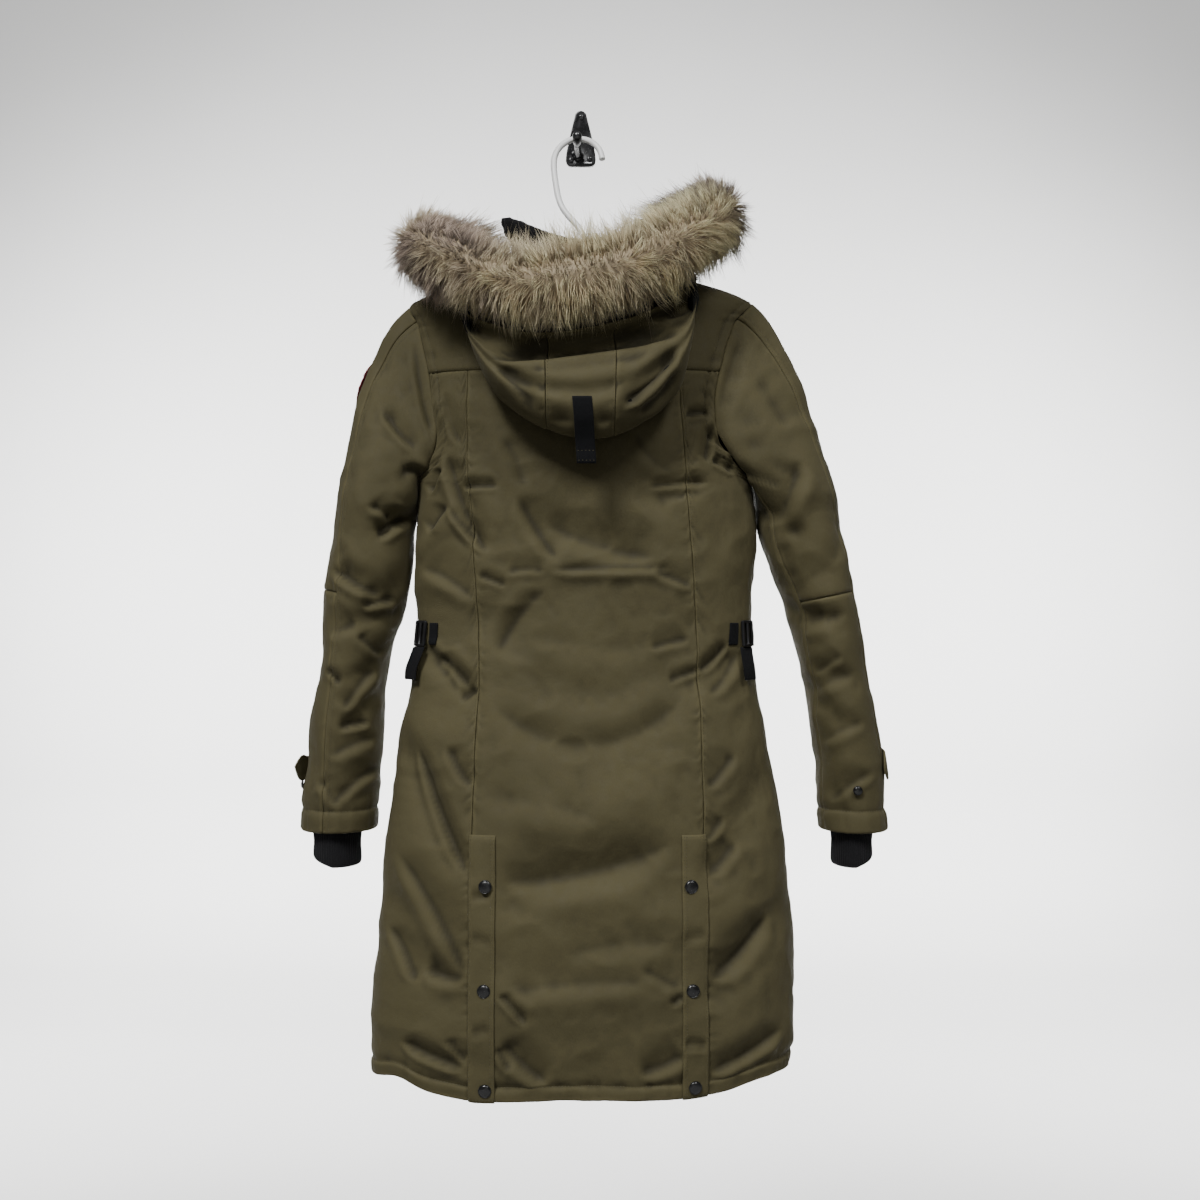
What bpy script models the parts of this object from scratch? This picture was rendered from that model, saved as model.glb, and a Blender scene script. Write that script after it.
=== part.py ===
"""Long padded parka with a fur ruff on its hood, hanging on a tube hanger from a wall hook.

Sizes are in millimetres and turned into metres as each mesh is made. The origin is on the wall,
in the middle of the hook's back plate. +X is the wearer's right, -Y points away from the wall
and is the side of the coat's back, and +Z is up.
"""

from math import atan2, cos, pi, radians, sin

import bmesh
import bpy
import numpy as np
from mathutils import Matrix, Vector

MM = 0.001

# Cloth and trim thicknesses
BODY_WALL = 5.0
HOOD_WALL = 3.6
FLAP_WALL = 2.2
WEBBING = 1.6
KNIT_WALL = 2.6
FLEECE_WALL = 2.6
SEAM_GAP = 0.4
LAY_GAP = 1.2
CLOSE_GAP = 0.7

# Levels of the body, as heights below the origin
HEM_LEVEL = -1162.0
VENT_TOP = -868.0
UNDERARM = -462.0
SHOULDER_POINT = -236.0
NECK_LEVEL = -190.0

# Each row of the body meets the armhole twenty degrees further round it, at a column of the sleeve
ARMHOLE_STEP = 20
YOKE_STEP = 80

SNAP_RADIUS = 7.6
SNAP_HEIGHT = 3.2

HANGER_TUBE = 4.5
HOOK_WIRE = 3.0


class Table:
    """A short table read as smooth curves. The first column is the station, the others are values."""

    def __init__(self, heading, *rows):
        values = np.array(rows, float)
        self.station = values[:, 0]
        self.columns = dict(zip(heading.split()[1:], values[:, 1:].T))

    def read(self, name, at):
        x, y = self.station, self.columns[name]
        slope = np.gradient(y, x)
        at = np.clip(at, x[0], x[-1])
        i = np.clip(np.searchsorted(x, at) - 1, 0, len(x) - 2)
        span = x[i + 1] - x[i]
        f = (at - x[i]) / span
        ends = (1 + 2 * f) * (1 - f) ** 2 * y[i] + f**2 * (3 - 2 * f) * y[i + 1]
        return ends + span * (f * (1 - f) ** 2 * slope[i] - f**2 * (1 - f) * slope[i + 1])

    def point(self, at):
        return np.stack([self.read(name, at) for name in "xyz"], -1)


# The body's sections from hem to neck. left and right are its side edges, front and back its
# depths, square the squareness of the oval, and seam_left and seam_right the long back seams.
BODY = Table(
    "z left right front back square front_drop back_drop seam_left seam_right",
    (-1162, -248, 251, -36, -238, 2.6, 0, 3, -122, 145),
    (-1100, -247, 257, -34, -241, 2.6, 0, 1, -122, 145),
    (-1010, -241, 256, -33, -239, 2.6, 0, 0, -122, 145),
    (-914, -234, 248, -33, -233, 2.6, 0, 0, -122, 145),
    (-842, -226, 240, -33, -226, 2.5, 0, 0, -121, 144),
    (-770, -218, 227, -34, -216, 2.5, 0, 0, -119, 142),
    (-721, -207, 218, -36, -208, 2.4, 0, 0, -117, 141),
    (-673, -202, 210, -38, -201, 2.4, 0, 0, -116, 139),
    (-636, -198, 208, -38, -196, 2.4, 0, 0, -118, 138),
    (-588, -198, 209, -35, -194, 2.5, 0, 0, -120, 135),
    (-539, -198, 214, -30, -193, 2.6, 0, 0, -123, 132),
    (-490, -195, 213, -26, -192, 2.7, 0, 0, -127, 128),
    (-440, -193, 208, -24, -190, 2.7, 4, 0, -130, 125),
    (-380, -194, 206, -22, -186, 2.7, 12, 0, -131, 121),
    (-320, -197, 207, -21, -180, 2.7, 26, 0, -131, 117),
    (-270, -201, 209, -22, -172, 2.6, 38, 0, -131, 115),
    (-236, -201, 208, -28, -165, 2.5, 45, 0, -131, 115),
    (-226, -181, 188, -30, -162, 2.4, 46, 4, -120, 110),
    (-215, -150, 157, -31, -157, 2.3, 46, 10, -100, 100),
    (-205, -120, 127, -31, -152, 2.3, 46, 15, -90, 90),
    (-197, -97, 104, -30, -148, 2.2, 46, 18, -70, 75),
    (-190, -80, 87, -29, -144, 2.2, 46, 20, -60, 65),
)

# How far in angle the armhole cuts into the back, on each side, and into the front. turn runs
# round the sleeve: 0 at the shoulder, 90 at the back, 180 below.
ARMHOLE = Table(
    "turn back_left back_right front",
    (0, 0, 0, 0),
    (30, 12, 24, 22),
    (55, 20, 35, 37),
    (72, 25, 40, 43),
    (97, 30, 45, 46),
    (120, 33, 43, 42),
    (140, 27, 31, 30),
    (160, 12, 13, 13),
    (180, 0, 0, 0),
)

# The hem is not level: the quilting inside it pulls it up beside the vents
HEM_WAVE = Table(
    "turn lift",
    (-180, 0),
    (-125, 2),
    (-92, 4),
    (-70, 8),
    (-52, 14),
    (-38, 2),
    (-28, -2),
    (0, 0),
    (22, 0),
    (36, 4),
    (48, 11),
    (80, 14),
    (105, 9),
    (140, 2),
    (180, 0),
)

# The side seam starts under the arm and runs a little to the front below it
SIDE_SEAM = Table("z turn", (HEM_LEVEL, 103), (-700, 103), (-600, 101), (-500, 94), (UNDERARM, 90))

# The largest folds of the body's back: a soft ridge (height over 0) or trough along a line
BACK_FOLDS = (
    # x0, z0, x1, z1, width, height
    (-40, -566, 105, -563, 14, 4.0),
    (-55, -500, 75, -548, 26, -6.0),
    (-110, -606, -35, -700, 26, -4.0),
    (-70, -712, 110, -700, 34, -5.0),
    (-90, -938, 90, -905, 26, -7.0),
    (-90, -1052, 100, -1046, 30, 4.0),
    (-225, -742, -130, -910, 18, -6.0),
    (-232, -930, -140, -1065, 24, -5.5),
    (222, -800, 150, -915, 20, -6.0),
    (236, -955, 150, -1058, 22, -6.5),
    (-172, -668, -122, -712, 12, -5.0),
    (178, -660, 128, -700, 14, -5.5),
    (96, -482, 140, -470, 12, -5.0),
    (-196, -545, -140, -500, 12, 4.0),
)

# Sleeve sections from the upper arm to the cuff
SLEEVE_LEFT = Table(
    "z x half_width y half_depth",
    (-878, -294.0, 45.5, -108, 47),
    (-820, -290.5, 44.5, -109, 48),
    (-771, -286.0, 43.5, -110, 49),
    (-722, -280.5, 41.5, -111, 50),
    (-673, -275.0, 39.5, -112, 51),
    (-624, -266.5, 45.0, -112, 53),
    (-590, -259.5, 48.5, -112, 56),
    (-545, -253.5, 50.0, -111, 59),
    (-505, -248.5, 49.5, -110, 61),
    (-480, -245.0, 49.5, -110, 61),
)
SLEEVE_RIGHT = Table(
    "z x half_width y half_depth",
    (-878, 334.5, 41.5, -108, 48),
    (-820, 330.0, 40.5, -109, 49),
    (-771, 323.5, 39.5, -110, 51),
    (-722, 316.5, 37.5, -111, 53),
    (-673, 308.0, 37.5, -112, 55),
    (-624, 297.0, 40.5, -112, 57),
    (-590, 290.0, 41.0, -112, 59),
    (-545, 277.5, 45.5, -111, 62),
    (-505, 266.5, 48.0, -110, 63),
    (-480, 259.5, 49.0, -110, 63),
)
UPPER_ARM = -505.0
ELBOW_SEAM = -597.0
SLEEVE_HEM = -878.0

# Where the elbow panel of each sleeve starts and ends, from the armhole down to the cuff
SLEEVE_SEAMS = Table(
    "down left_first left_last right_first right_last",
    (0.0, -60, 40, 40, 140),
    (0.5, -58, 42, 38, 141),
    (1.0, -54, 46, 34, 142),
    (1.3, -48, 56, 31, 141),
    (1.65, -40, 68, 29, 150),
    (2.0, -34, 76, 28, 158),
)

# Creases across the sleeves, as angle round the sleeve and height
SLEEVE_FOLDS = (
    # turn0, z0, turn1, z1, width, height
    (100, -520, 175, -500, 15, -5.0),
    (60, -560, 150, -590, 14, -4.5),
    (70, -628, 165, -612, 14, -5.5),
    (60, -700, 140, -680, 13, -4.0),
    (100, -742, 170, -700, 16, -4.5),
)

# The ruff's middle line, from its wearer's-left end round the back to its right end
RUFF = Table(
    "s x y z radius",
    (0, -118, -48, -153, 36),
    (1, -166, -74, -156, 42),
    (2, -187, -126, -172, 45),
    (3, -160, -186, -197, 46),
    (4, -103, -229, -232, 46),
    (5, -48, -251, -249, 47),
    (6, 6, -257, -244, 47),
    (7, 59, -247, -227, 48),
    (8, 111, -217, -191, 49),
    (9, 152, -162, -152, 48),
    (10, 162, -107, -126, 46),
    (11, 138, -68, -118, 42),
    (12, 99, -47, -122, 34),
)
RUFF_END = 12

# The hood's pouch: how low it hangs, and how far out its belly stands, along the ruff
HOOD = Table(
    "s bottom belly pouch neck_turn",
    (0.5, -180, -60, 0.0, -128),
    (1.5, -200, -90, 0.0, -112),
    (2.5, -240, -160, 0.0, -92),
    (3.2, -290, -205, 0.3, -74),
    (3.65, -318, -224, 0.8, -62),
    (4.1, -346, -240, 1.0, -50),
    (4.7, -386, -254, 1.0, -32),
    (5.4, -411, -263, 1.0, -14),
    (6.0, -417, -265, 1.0, 0),
    (6.7, -408, -262, 1.0, 16),
    (7.4, -378, -252, 1.0, 34),
    (8.1, -330, -234, 1.0, 52),
    (8.55, -296, -216, 0.8, 64),
    (9.0, -262, -196, 0.35, 76),
    (9.6, -215, -160, 0.0, 92),
    (10.5, -180, -90, 0.0, 112),
    (11.5, -170, -60, 0.0, 128),
)
HOOD_CREASE = 0.27
HOOD_STATIONS = {
    "left": (0.5, 1.2, 2.0, 2.7, 3.05, 3.35, 3.65, 4.1, 4.65, 5.2),
    "center": (5.2, 5.5, 5.8, 6.1, 6.45),
    "right": (6.45, 7.0, 7.6, 8.1, 8.45, 8.75, 9.1, 9.6, 10.5, 11.5),
}

COLLAR = Table(
    "turn height",
    (-176, 50),
    (-120, 52),
    (-80, 52),
    (-40, 42),
    (0, 36),
    (40, 42),
    (80, 52),
    (120, 52),
    (176, 50),
)


def signed_power(value, exponent):
    return np.sign(value) * np.abs(value) ** exponent


def unit(vectors):
    return vectors / np.maximum(np.linalg.norm(vectors, axis=-1, keepdims=True), 1e-9)


def near_line(a, b, line):
    """How much of a fold is felt at (a, b): 1 on its line, fading over its width and past its ends."""
    a0, b0, a1, b1, width = line
    along = np.array([a1 - a0, b1 - b0], float)
    share = ((a - a0) * along[0] + (b - b0) * along[1]) / (along @ along)
    held = np.clip(share, 0.12, 0.88)
    off = np.hypot(a - a0 - held * along[0], b - b0 - held * along[1])
    return np.exp(-((off / width) ** 2))


def body_shape(turn, z):
    """The body's plain oval form. turn is in degrees from the centre back, + to the wearer's right."""
    left, right, front, back, square, front_drop, back_drop = (
        BODY.read(name, z)
        for name in "left right front back square front_drop back_drop".split()
    )
    side, rear = np.sin(np.radians(turn)), np.cos(np.radians(turn))
    x = (left + right) / 2 + (right - left) / 2 * signed_power(side, 2 / square)
    y = (front + back) / 2 - (front - back) / 2 * signed_power(rear, 2 / square)
    drop = np.where(rear < 0, front_drop, back_drop) * rear**2
    lift = HEM_WAVE.read("lift", turn) * np.clip((HEM_LEVEL + 110 - z) / 110, 0, 1) ** 2
    return np.stack([x, y, z - drop + lift], -1)


def turn_at(x, z):
    """The angle on the body's back at which it lies at x."""
    left, right, square = (BODY.read(name, z) for name in ("left", "right", "square"))
    share = np.clip((x - (left + right) / 2) / ((right - left) / 2), -1, 1)
    return np.degrees(np.arcsin(signed_power(share, square / 2)))


def outward(shape, u, v, step_u, step_v):
    across = shape(u + step_u, v) - shape(u - step_u, v)
    along = shape(u, v + step_v) - shape(u, v - step_v)
    return unit(np.cross(across, along))


def body(turn, z, out=0.0):
    """A point of the body's skin, moved out along its normal by out, with the largest folds."""
    turn, z = np.broadcast_arrays(np.asarray(turn, float), np.asarray(z, float))
    point = body_shape(turn, z)
    normal = outward(body_shape, turn, z, 1.0, 3.0)
    facing = np.clip(-normal[..., 1] * 1.6, 0, 1)
    below_yoke = np.clip((-330 - z) / 60, 0, 1)
    relief = sum(
        fold[5] * near_line(point[..., 0], point[..., 2], fold[:5]) for fold in BACK_FOLDS
    )
    return point + normal * (relief * facing * below_yoke + out)[..., None]


def armhole_reach(side, turn):
    """How far the armhole cuts into the back, or with a minus sign into the front."""
    turn = (np.asarray(turn, float) + 180) % 360 - 180
    back = ARMHOLE.read("back_right" if side > 0 else "back_left", np.abs(turn))
    return np.where(turn > 0, back, -ARMHOLE.read("front", np.abs(turn)))


def armhole(side, turn):
    """The armhole's edge."""
    middle, half = (SHOULDER_POINT + UNDERARM) / 2, (SHOULDER_POINT - UNDERARM) / 2
    return body(side * (90 - armhole_reach(side, turn)), middle + half * np.cos(np.radians(turn)))


def sleeve_ring(side, turn, z):
    """The sleeve below the upper arm, square to its own middle line."""
    table = SLEEVE_RIGHT if side > 0 else SLEEVE_LEFT
    lean = side * (table.read("x", z - 4) - table.read("x", z + 4)) / 8
    out, rear = np.cos(np.radians(turn)), np.sin(np.radians(turn))
    reach = table.read("half_width", z) * out
    x = table.read("x", z) + side * reach
    y = table.read("y", z) - table.read("half_depth", z) * rear
    settle = np.clip((z - SLEEVE_HEM) / 60, 0, 1)
    return np.stack([x, y, z + lean * reach * settle], -1)


def sleeve_shape(side, turn, down):
    """down runs from 0 at the armhole to 1 at the upper arm, and on to 2 at the cuff."""
    cap = np.clip(down, 0, 1)[..., None]
    z = UPPER_ARM + (SLEEVE_HEM - UPPER_ARM) * np.clip(down - 1, 0, 1)
    turn = np.asarray(turn, float)
    up = np.cos(np.radians(turn))
    dip = 22 + 15 * np.maximum(up, 0) ** 2 + 46 * np.maximum(-up, 0) ** 2
    dip = np.radians(dip)[..., None]
    edge = armhole(side, turn)
    # Under the arm the sleeve leaves square to the body, and elsewhere straight out to the side
    square = unit((edge - np.array([4.0, -107.0, 0])) * np.array([1, 1, 0]))
    under = 0.7 * np.maximum(-up, 0)[..., None]
    outwards = unit(square * under + np.array([side, 0, 0]) * (1 - under))
    leave = outwards * np.cos(dip) - np.array([0, 0, 1.0]) * np.sin(dip)
    start = edge + leave * SEAM_GAP * 2.5
    ring = sleeve_ring(side, turn, z)
    first = sleeve_ring(side, turn, np.full_like(z, UPPER_ARM))
    arrive = unit(sleeve_ring(side, turn, np.full_like(z, UPPER_ARM - 8)) - first)
    reach = np.linalg.norm(first - start, axis=-1, keepdims=True)
    lofted = (
        (1 + 2 * cap) * (1 - cap) ** 2 * start
        + cap**2 * (3 - 2 * cap) * first
        + reach * (0.74 * cap * (1 - cap) ** 2 * leave - cap**2 * (1 - cap) * arrive)
    )
    return np.where((down > 1)[..., None], ring, lofted)


def sleeve(side, turn, down, out=0.0):
    turn, down = np.broadcast_arrays(np.asarray(turn, float), np.asarray(down, float))

    def shape(t, d):
        return sleeve_shape(side, t, np.clip(d, 0, 2))

    point = shape(turn, down)
    normal = outward(shape, turn, down, 2.0, 0.02) * side
    relief = sum(
        fold[5] * near_line(turn % 360, point[..., 2], fold[:5]) for fold in SLEEVE_FOLDS
    )
    away = np.clip(down * 3 - 0.6, 0, 1)
    return point + normal * (relief * away + out)[..., None]


def sleeve_station(z):
    """The value of down at a height below the upper arm."""
    return 1 + (z - UPPER_ARM) / (SLEEVE_HEM - UPPER_ARM)


def ruff_frame(s):
    """Middle point, and the unit vectors along the ruff and square to it: inward-level and down."""
    middle = RUFF.point(s)
    along = unit(RUFF.point(s + 0.05) - RUFF.point(s - 0.05))
    down = unit(np.array([0, 0, -1.0]) + along * along[..., 2:3])
    inward = np.cross(along, down)
    return middle, along, inward, down


def body_clearance(point):
    """Roughly how far a point stands off the body, with the body carried straight up at the neck."""
    x, y, z = point[..., 0], point[..., 1], point[..., 2]
    for _ in range(2):
        level = np.clip(z, HEM_LEVEL, NECK_LEVEL)
        left, right, front, back, square = (
            BODY.read(name, level) for name in "left right front back square".split()
        )
        u = np.abs(x - (left + right) / 2) / ((right - left) / 2)
        v = np.abs(y - (front + back) / 2) / ((front - back) / 2)
        drop = BODY.read("back_drop", level) * np.clip(v, 0, 1) ** square
        z = point[..., 2] + drop
    return ((u**square + v**square) ** (1 / square) - 1) * (front - back) / 2


def off_the_body(point, least):
    """Points moved out along the body's own slope until they stand at least so far off it."""
    for _ in range(6):
        held = body_clearance(point)
        slope = np.stack(
            [body_clearance(point + step) - held for step in np.eye(3) * 0.5], -1
        ) / 0.5
        size = np.linalg.norm(slope, axis=-1)
        short = np.clip(least - held / np.maximum(size, 0.3), 0, 12)
        point = point + slope / np.maximum(size, 1e-6)[..., None] * short[..., None]
    return point


def off_the_ruff(point, least):
    """Points moved straight out from the ruff's middle line until they clear its fur."""
    stations = np.linspace(0, RUFF_END, 97)
    middle, radius = RUFF.point(stations), RUFF.read("radius", stations)
    for _ in range(3):
        away = point[..., None, :] - middle
        length = np.linalg.norm(away, axis=-1)
        short = radius + least - length
        worst = np.argmax(short, -1)[..., None]
        by = np.clip(np.take_along_axis(short, worst, -1), 0, None)
        away = np.take_along_axis(away / length[..., None], worst[..., None], -2)[..., 0, :]
        point = point + away * by
    return point


def hood_shape(s, q):
    """The hood between the ruff, q = 0, and the neck seam, q = 1. It hangs down between them."""
    middle, _, inward, down = ruff_frame(s)
    pouch = HOOD.read("pouch", s)[..., None]
    below = unit(down * (0.25 + pouch) + inward * (1.0 - 0.9 * pouch))
    brim = middle + below * (RUFF.read("radius", s) + 6.0)[..., None]
    neck_turn = HOOD.read("neck_turn", s)
    neck = body(neck_turn, np.full_like(neck_turn, NECK_LEVEL), 4.0)
    neck = neck + np.array([0, 0, 0.6])
    bottom, belly = HOOD.read("bottom", s), HOOD.read("belly", s)

    def column(share, y, z):
        """A point of the pouch: share of the way in x from the brim to the neck."""
        x = brim[..., 0] * (1 - share) + neck[..., 0] * share
        return np.stack([x, y, z], -1)

    def on_back(share, z, out):
        """A point that lies on the body's back, under the pouch's inner side."""
        x = brim[..., 0] * (1 - share) + neck[..., 0] * share
        laid = body(turn_at(x, z), z, out)
        return laid

    drop = brim[..., 2] - bottom
    stations = [
        brim,
        column(0.01, brim[..., 1] + 9, brim[..., 2] - 0.16 * drop),
        column(0.04, belly, brim[..., 2] - 0.52 * drop),
        column(0.08, belly + 10, brim[..., 2] - 0.84 * drop),
        column(0.12, belly + 36, bottom),
        on_back(0.18, bottom + 0.16 * drop, 9.0),
        on_back(0.35, np.minimum(bottom + 0.62 * drop, -246.0), 9.0),
        on_back(0.72, np.full_like(bottom, -222.0), 8.0),
        neck,
    ]
    last = len(stations) - 1
    lifted = np.linspace(0, 1, last + 1)
    points = []
    for station, share in zip(stations, lifted):
        strip = brim * (1 - share) + neck * share
        strip = strip + np.array([0, 0, 1.0]) * (5 * np.sin(pi * share))
        points.append(strip * (1 - pouch) + station * pouch)
    points = np.array(points)
    at = np.clip(q, 0, 1) * last
    i = np.clip(at.astype(int), 0, last - 1)
    f = (at - i)[..., None]
    grid = np.indices(i.shape)

    def taken(k):
        return points[(np.clip(i + k, 0, last),) + tuple(grid)]

    a, b, c, d = (taken(k) for k in (-1, 0, 1, 2))
    point = 0.5 * (
        2 * b + (c - a) * f + (2 * a - 5 * b + 4 * c - d) * f**2 + (3 * b - a - 3 * c + d) * f**3
    )
    crease = np.exp(-(((q - HOOD_CREASE) / 0.035) ** 2)) * pouch[..., 0]
    point = point + np.array([0, 1.0, 0]) * (7 * crease)[..., None]
    least = 8.5 - 5.2 * np.clip((q - 0.9) * 10, 0, 1)
    return off_the_body(off_the_ruff(point, 7.0), least)


def hood(s, q, out=0.0):
    s, q = np.broadcast_arrays(np.asarray(s, float), np.asarray(q, float))
    point = hood_shape(s, q)
    normal = outward(hood_shape, s, q, 0.05, 0.02)
    return point - normal * np.asarray(out)[..., None]


def collar(turn, rise, out=0.0):
    """The standing collar. rise runs from 0 at the neck seam to 1 at its top edge."""
    turn, rise = np.broadcast_arrays(np.asarray(turn, float), np.asarray(rise, float))
    seam = body_shape(turn, np.full_like(turn, NECK_LEVEL))
    middle = np.array([3.5, -86.5, 0])
    outwards = (seam - middle) * np.array([1, 1, 0])
    height = COLLAR.read("height", turn)
    lean = 1 - 0.05 * rise[..., None]
    point = middle + outwards * lean + np.array([0, 0, 1.0]) * seam[..., 2:3]
    point = point + unit(outwards) * (out - 0.6)
    return point + np.array([0, 0, 1.0]) * (1.2 + rise * height)[..., None]


# The cuff tabs: along the tab, its middle height, how far it stands off and half its width
CUFF_TABS = {
    "left": Table(
        "turn z lift half_height",
        (-74, -811, 0.0, 14.0),
        (-54, -811, 0.0, 14.0),
        (-34, -811, 0.0, 14.0),
        (-17, -811, 3.5, 14.0),
        (-7, -810, 8.0, 13.0),
        (-1, -809, 12.5, 3.0),
    ),
    "right": Table(
        "turn z lift half_height",
        (-72, -802, 0.0, 15.0),
        (-46, -802, 0.0, 15.0),
        (-20, -802, 0.5, 15.0),
        (4, -803, 1.5, 15.0),
        (28, -806, 3.5, 14.0),
        (36, -808, 4.0, 9.0),
    ),
}


def clear_scene():
    for obj in list(bpy.data.objects):
        bpy.data.objects.remove(obj, do_unlink=True)


def finish(name, rgb, rough, metal=0.0):
    material = bpy.data.materials.new(name)
    material.use_nodes = True
    shader = material.node_tree.nodes["Principled BSDF"]
    shader.inputs["Base Color"].default_value = (*rgb, 1.0)
    shader.inputs["Roughness"].default_value = rough
    shader.inputs["Metallic"].default_value = metal
    material.diffuse_color = (*rgb, 1.0)
    return material


def add_object(name, data, material, smooth=True):
    obj = bpy.data.objects.new(name, data)
    PARTS.objects.link(obj)
    data.materials.append(material)
    if smooth and isinstance(data, bpy.types.Mesh):
        data.shade_smooth()
        data.set_sharp_from_angle(angle=radians(40))
    return obj


def add_cloth(name, skin, u, v, wall, material, out=0.0, closed=False):
    """A cloth wall: skin(u, v, out) over a grid of rows, with an inner skin a wall's thickness in."""
    outer = skin(u, v, out) * MM
    inner = skin(u, v, out - wall) * MM
    rows, columns = u.shape
    bm = bmesh.new()
    skins = [
        [[bm.verts.new(p) for p in row] for row in points] for points in (outer, inner)
    ]
    across = range(columns if closed else columns - 1)
    for side, grid in enumerate(skins):
        for i in range(rows - 1):
            for j in across:
                k = (j + 1) % columns
                ring = [grid[i][j], grid[i][k], grid[i + 1][k], grid[i + 1][j]]
                bm.faces.new(ring if side == 0 else ring[::-1])
    for i in (0, rows - 1):
        for j in across:
            k = (j + 1) % columns
            edge = [skins[0][i][j], skins[1][i][j], skins[1][i][k], skins[0][i][k]]
            bm.faces.new(edge if i == 0 else edge[::-1])
    if not closed:
        for j in (0, columns - 1):
            for i in range(rows - 1):
                edge = [skins[0][i][j], skins[0][i + 1][j], skins[1][i + 1][j], skins[1][i][j]]
                bm.faces.new(edge if j == 0 else edge[::-1])
    bmesh.ops.recalc_face_normals(bm, faces=bm.faces)
    mesh = bpy.data.meshes.new(name)
    bm.to_mesh(mesh)
    bm.free()
    return add_object(name, mesh, material)


class Net:
    """The flat faces that a solid makes of a skin, for the pieces that lie on it."""

    def __init__(self, skin, u, v):
        self.skin, self.u, self.v = skin, u, v

    def lay(self, u, v, out=0.0):
        points = self.skin(self.u, self.v, out)
        levels = self.v[:, 0]
        found = []
        for turn, row in zip(u.flat, np.interp(v, levels, np.arange(levels.size)).flat):
            i = min(int(row), levels.size - 2)
            f = row - i
            turns = self.u[i] * (1 - f) + self.u[i + 1] * f
            column = np.interp(turn, turns, np.arange(turns.size))
            j = min(int(column), turns.size - 2)
            g = column - j
            near = points[i, j] * (1 - g) + points[i, j + 1] * g
            far = points[i + 1, j] * (1 - g) + points[i + 1, j + 1] * g
            found.append(near * (1 - f) + far * f)
        return np.reshape(found, (*u.shape, 3))


def armhole_levels(first, last):
    """Heights of the rows that meet the sleeve's own points, from angle first to angle last."""
    angles = np.radians(np.arange(first, last - 1, -ARMHOLE_STEP))
    middle, half = (SHOULDER_POINT + UNDERARM) / 2, (SHOULDER_POINT - UNDERARM) / 2
    return middle + half * np.cos(angles)


def panel_grid(levels, first_edge, last_edge, columns):
    """A grid of rows at the levels, whose columns run evenly between two edges."""
    share = np.linspace(0, 1, columns + 1)
    v = np.repeat(levels[:, None], columns + 1, 1)
    first, last = first_edge(levels), last_edge(levels)
    return first[:, None] * (1 - share) + last[:, None] * share, v


def half_gap(z, gap=SEAM_GAP):
    """Half of a seam's gap, as an angle on the body."""
    return np.degrees(gap * 2.2 / (BODY.read("right", z) - BODY.read("left", z)))


SHOULDER_LEVELS = np.array([-226.0, -215.0, -205.0, -197.0, NECK_LEVEL])
LOWER_LEVELS = np.array(
    [HEM_LEVEL, -1136, -1100, -1065, -1030, -995, -962, -932, -902, VENT_TOP, -835, -800, -765,
     -730, -697, -668, -640, -612, -580, -548, -516, -490]
)


def seam_turn(side, z):
    name = "seam_right" if side > 0 else "seam_left"
    return turn_at(BODY.read(name, z), z)


def side_turn(side, z, rear):
    """The outer edge of a panel: the side seam, and the armhole's edge above it."""
    middle, half = (SHOULDER_POINT + UNDERARM) / 2, (SHOULDER_POINT - UNDERARM) / 2
    round_arm = np.degrees(np.arccos(np.clip((z - middle) / half, -1, 1)))
    reach = armhole_reach(side, round_arm if rear else -round_arm)
    seam = SIDE_SEAM.read("turn", z)
    edge = np.where(z < UNDERARM - 0.5, seam, 90 - reach)
    return side * np.where(z > SHOULDER_POINT + 0.5, 90, edge)


def ordered(side, u, v):
    return (u[:, ::-1], v[:, ::-1]) if side < 0 else (u, v)


def build_back(cloth):
    """The centre back, the two side backs and the yoke above them."""
    levels = np.concatenate([LOWER_LEVELS, armhole_levels(180, YOKE_STEP)])
    levels[-1] -= SEAM_GAP / 2
    first = seam_turn(-1, levels) + half_gap(levels)
    last = seam_turn(1, levels) - half_gap(levels)
    edges = (first[:, None], last[:, None])
    v = np.repeat(levels[:, None], 11, 1)
    # The columns are even in width. Even steps of angle would bunch them towards the sides.
    x = [body_shape(edge, levels[:, None])[..., 0] for edge in edges]
    u = turn_at(x[0] + np.linspace(0, 1, 11) * (x[1] - x[0]), v)
    u[:, 0], u[:, -1] = first, last
    add_cloth("back_center", body, u, v, BODY_WALL, cloth)
    nets = {0: (u, v)}
    for side, name in ((-1, "left"), (1, "right")):
        u, v = panel_grid(
            levels,
            lambda z: seam_turn(side, z) + side * half_gap(z),
            lambda z: side_turn(side, z, True) - side * half_gap(z),
            5,
        )
        nets[side] = ordered(side, u, v)
        add_cloth(f"back_side_{name}", body, *nets[side], BODY_WALL, cloth)
    levels = np.concatenate([armhole_levels(YOKE_STEP, 0), SHOULDER_LEVELS])
    levels[0] += SEAM_GAP / 2
    u, v = panel_grid(
        levels,
        lambda z: side_turn(-1, z, True) + half_gap(z),
        lambda z: side_turn(1, z, True) - half_gap(z),
        14,
    )
    add_cloth("back_yoke", body, u, v, BODY_WALL, cloth)
    return nets


def build_fronts(cloth):
    """Two plain fronts that meet under the storm flap."""
    levels = np.concatenate([LOWER_LEVELS, armhole_levels(180, 0), SHOULDER_LEVELS])
    nets = {}
    for side, name in ((-1, "left"), (1, "right")):
        u, v = panel_grid(
            levels,
            lambda z: side_turn(side, z, False) + side * half_gap(z),
            lambda z: np.full_like(z, side * 180.0) - side * half_gap(z, 1.0),
            8,
        )
        nets[side] = ordered(side, u, v)
        add_cloth(f"front_{name}", body, *nets[side], BODY_WALL, cloth)
    return nets


def joined(grids):
    u, v = zip(*grids)
    rows = min(len(grid) for grid in u)
    return Net(body, np.hstack([g[:rows] for g in u]), np.hstack([g[:rows] for g in v]))


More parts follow.
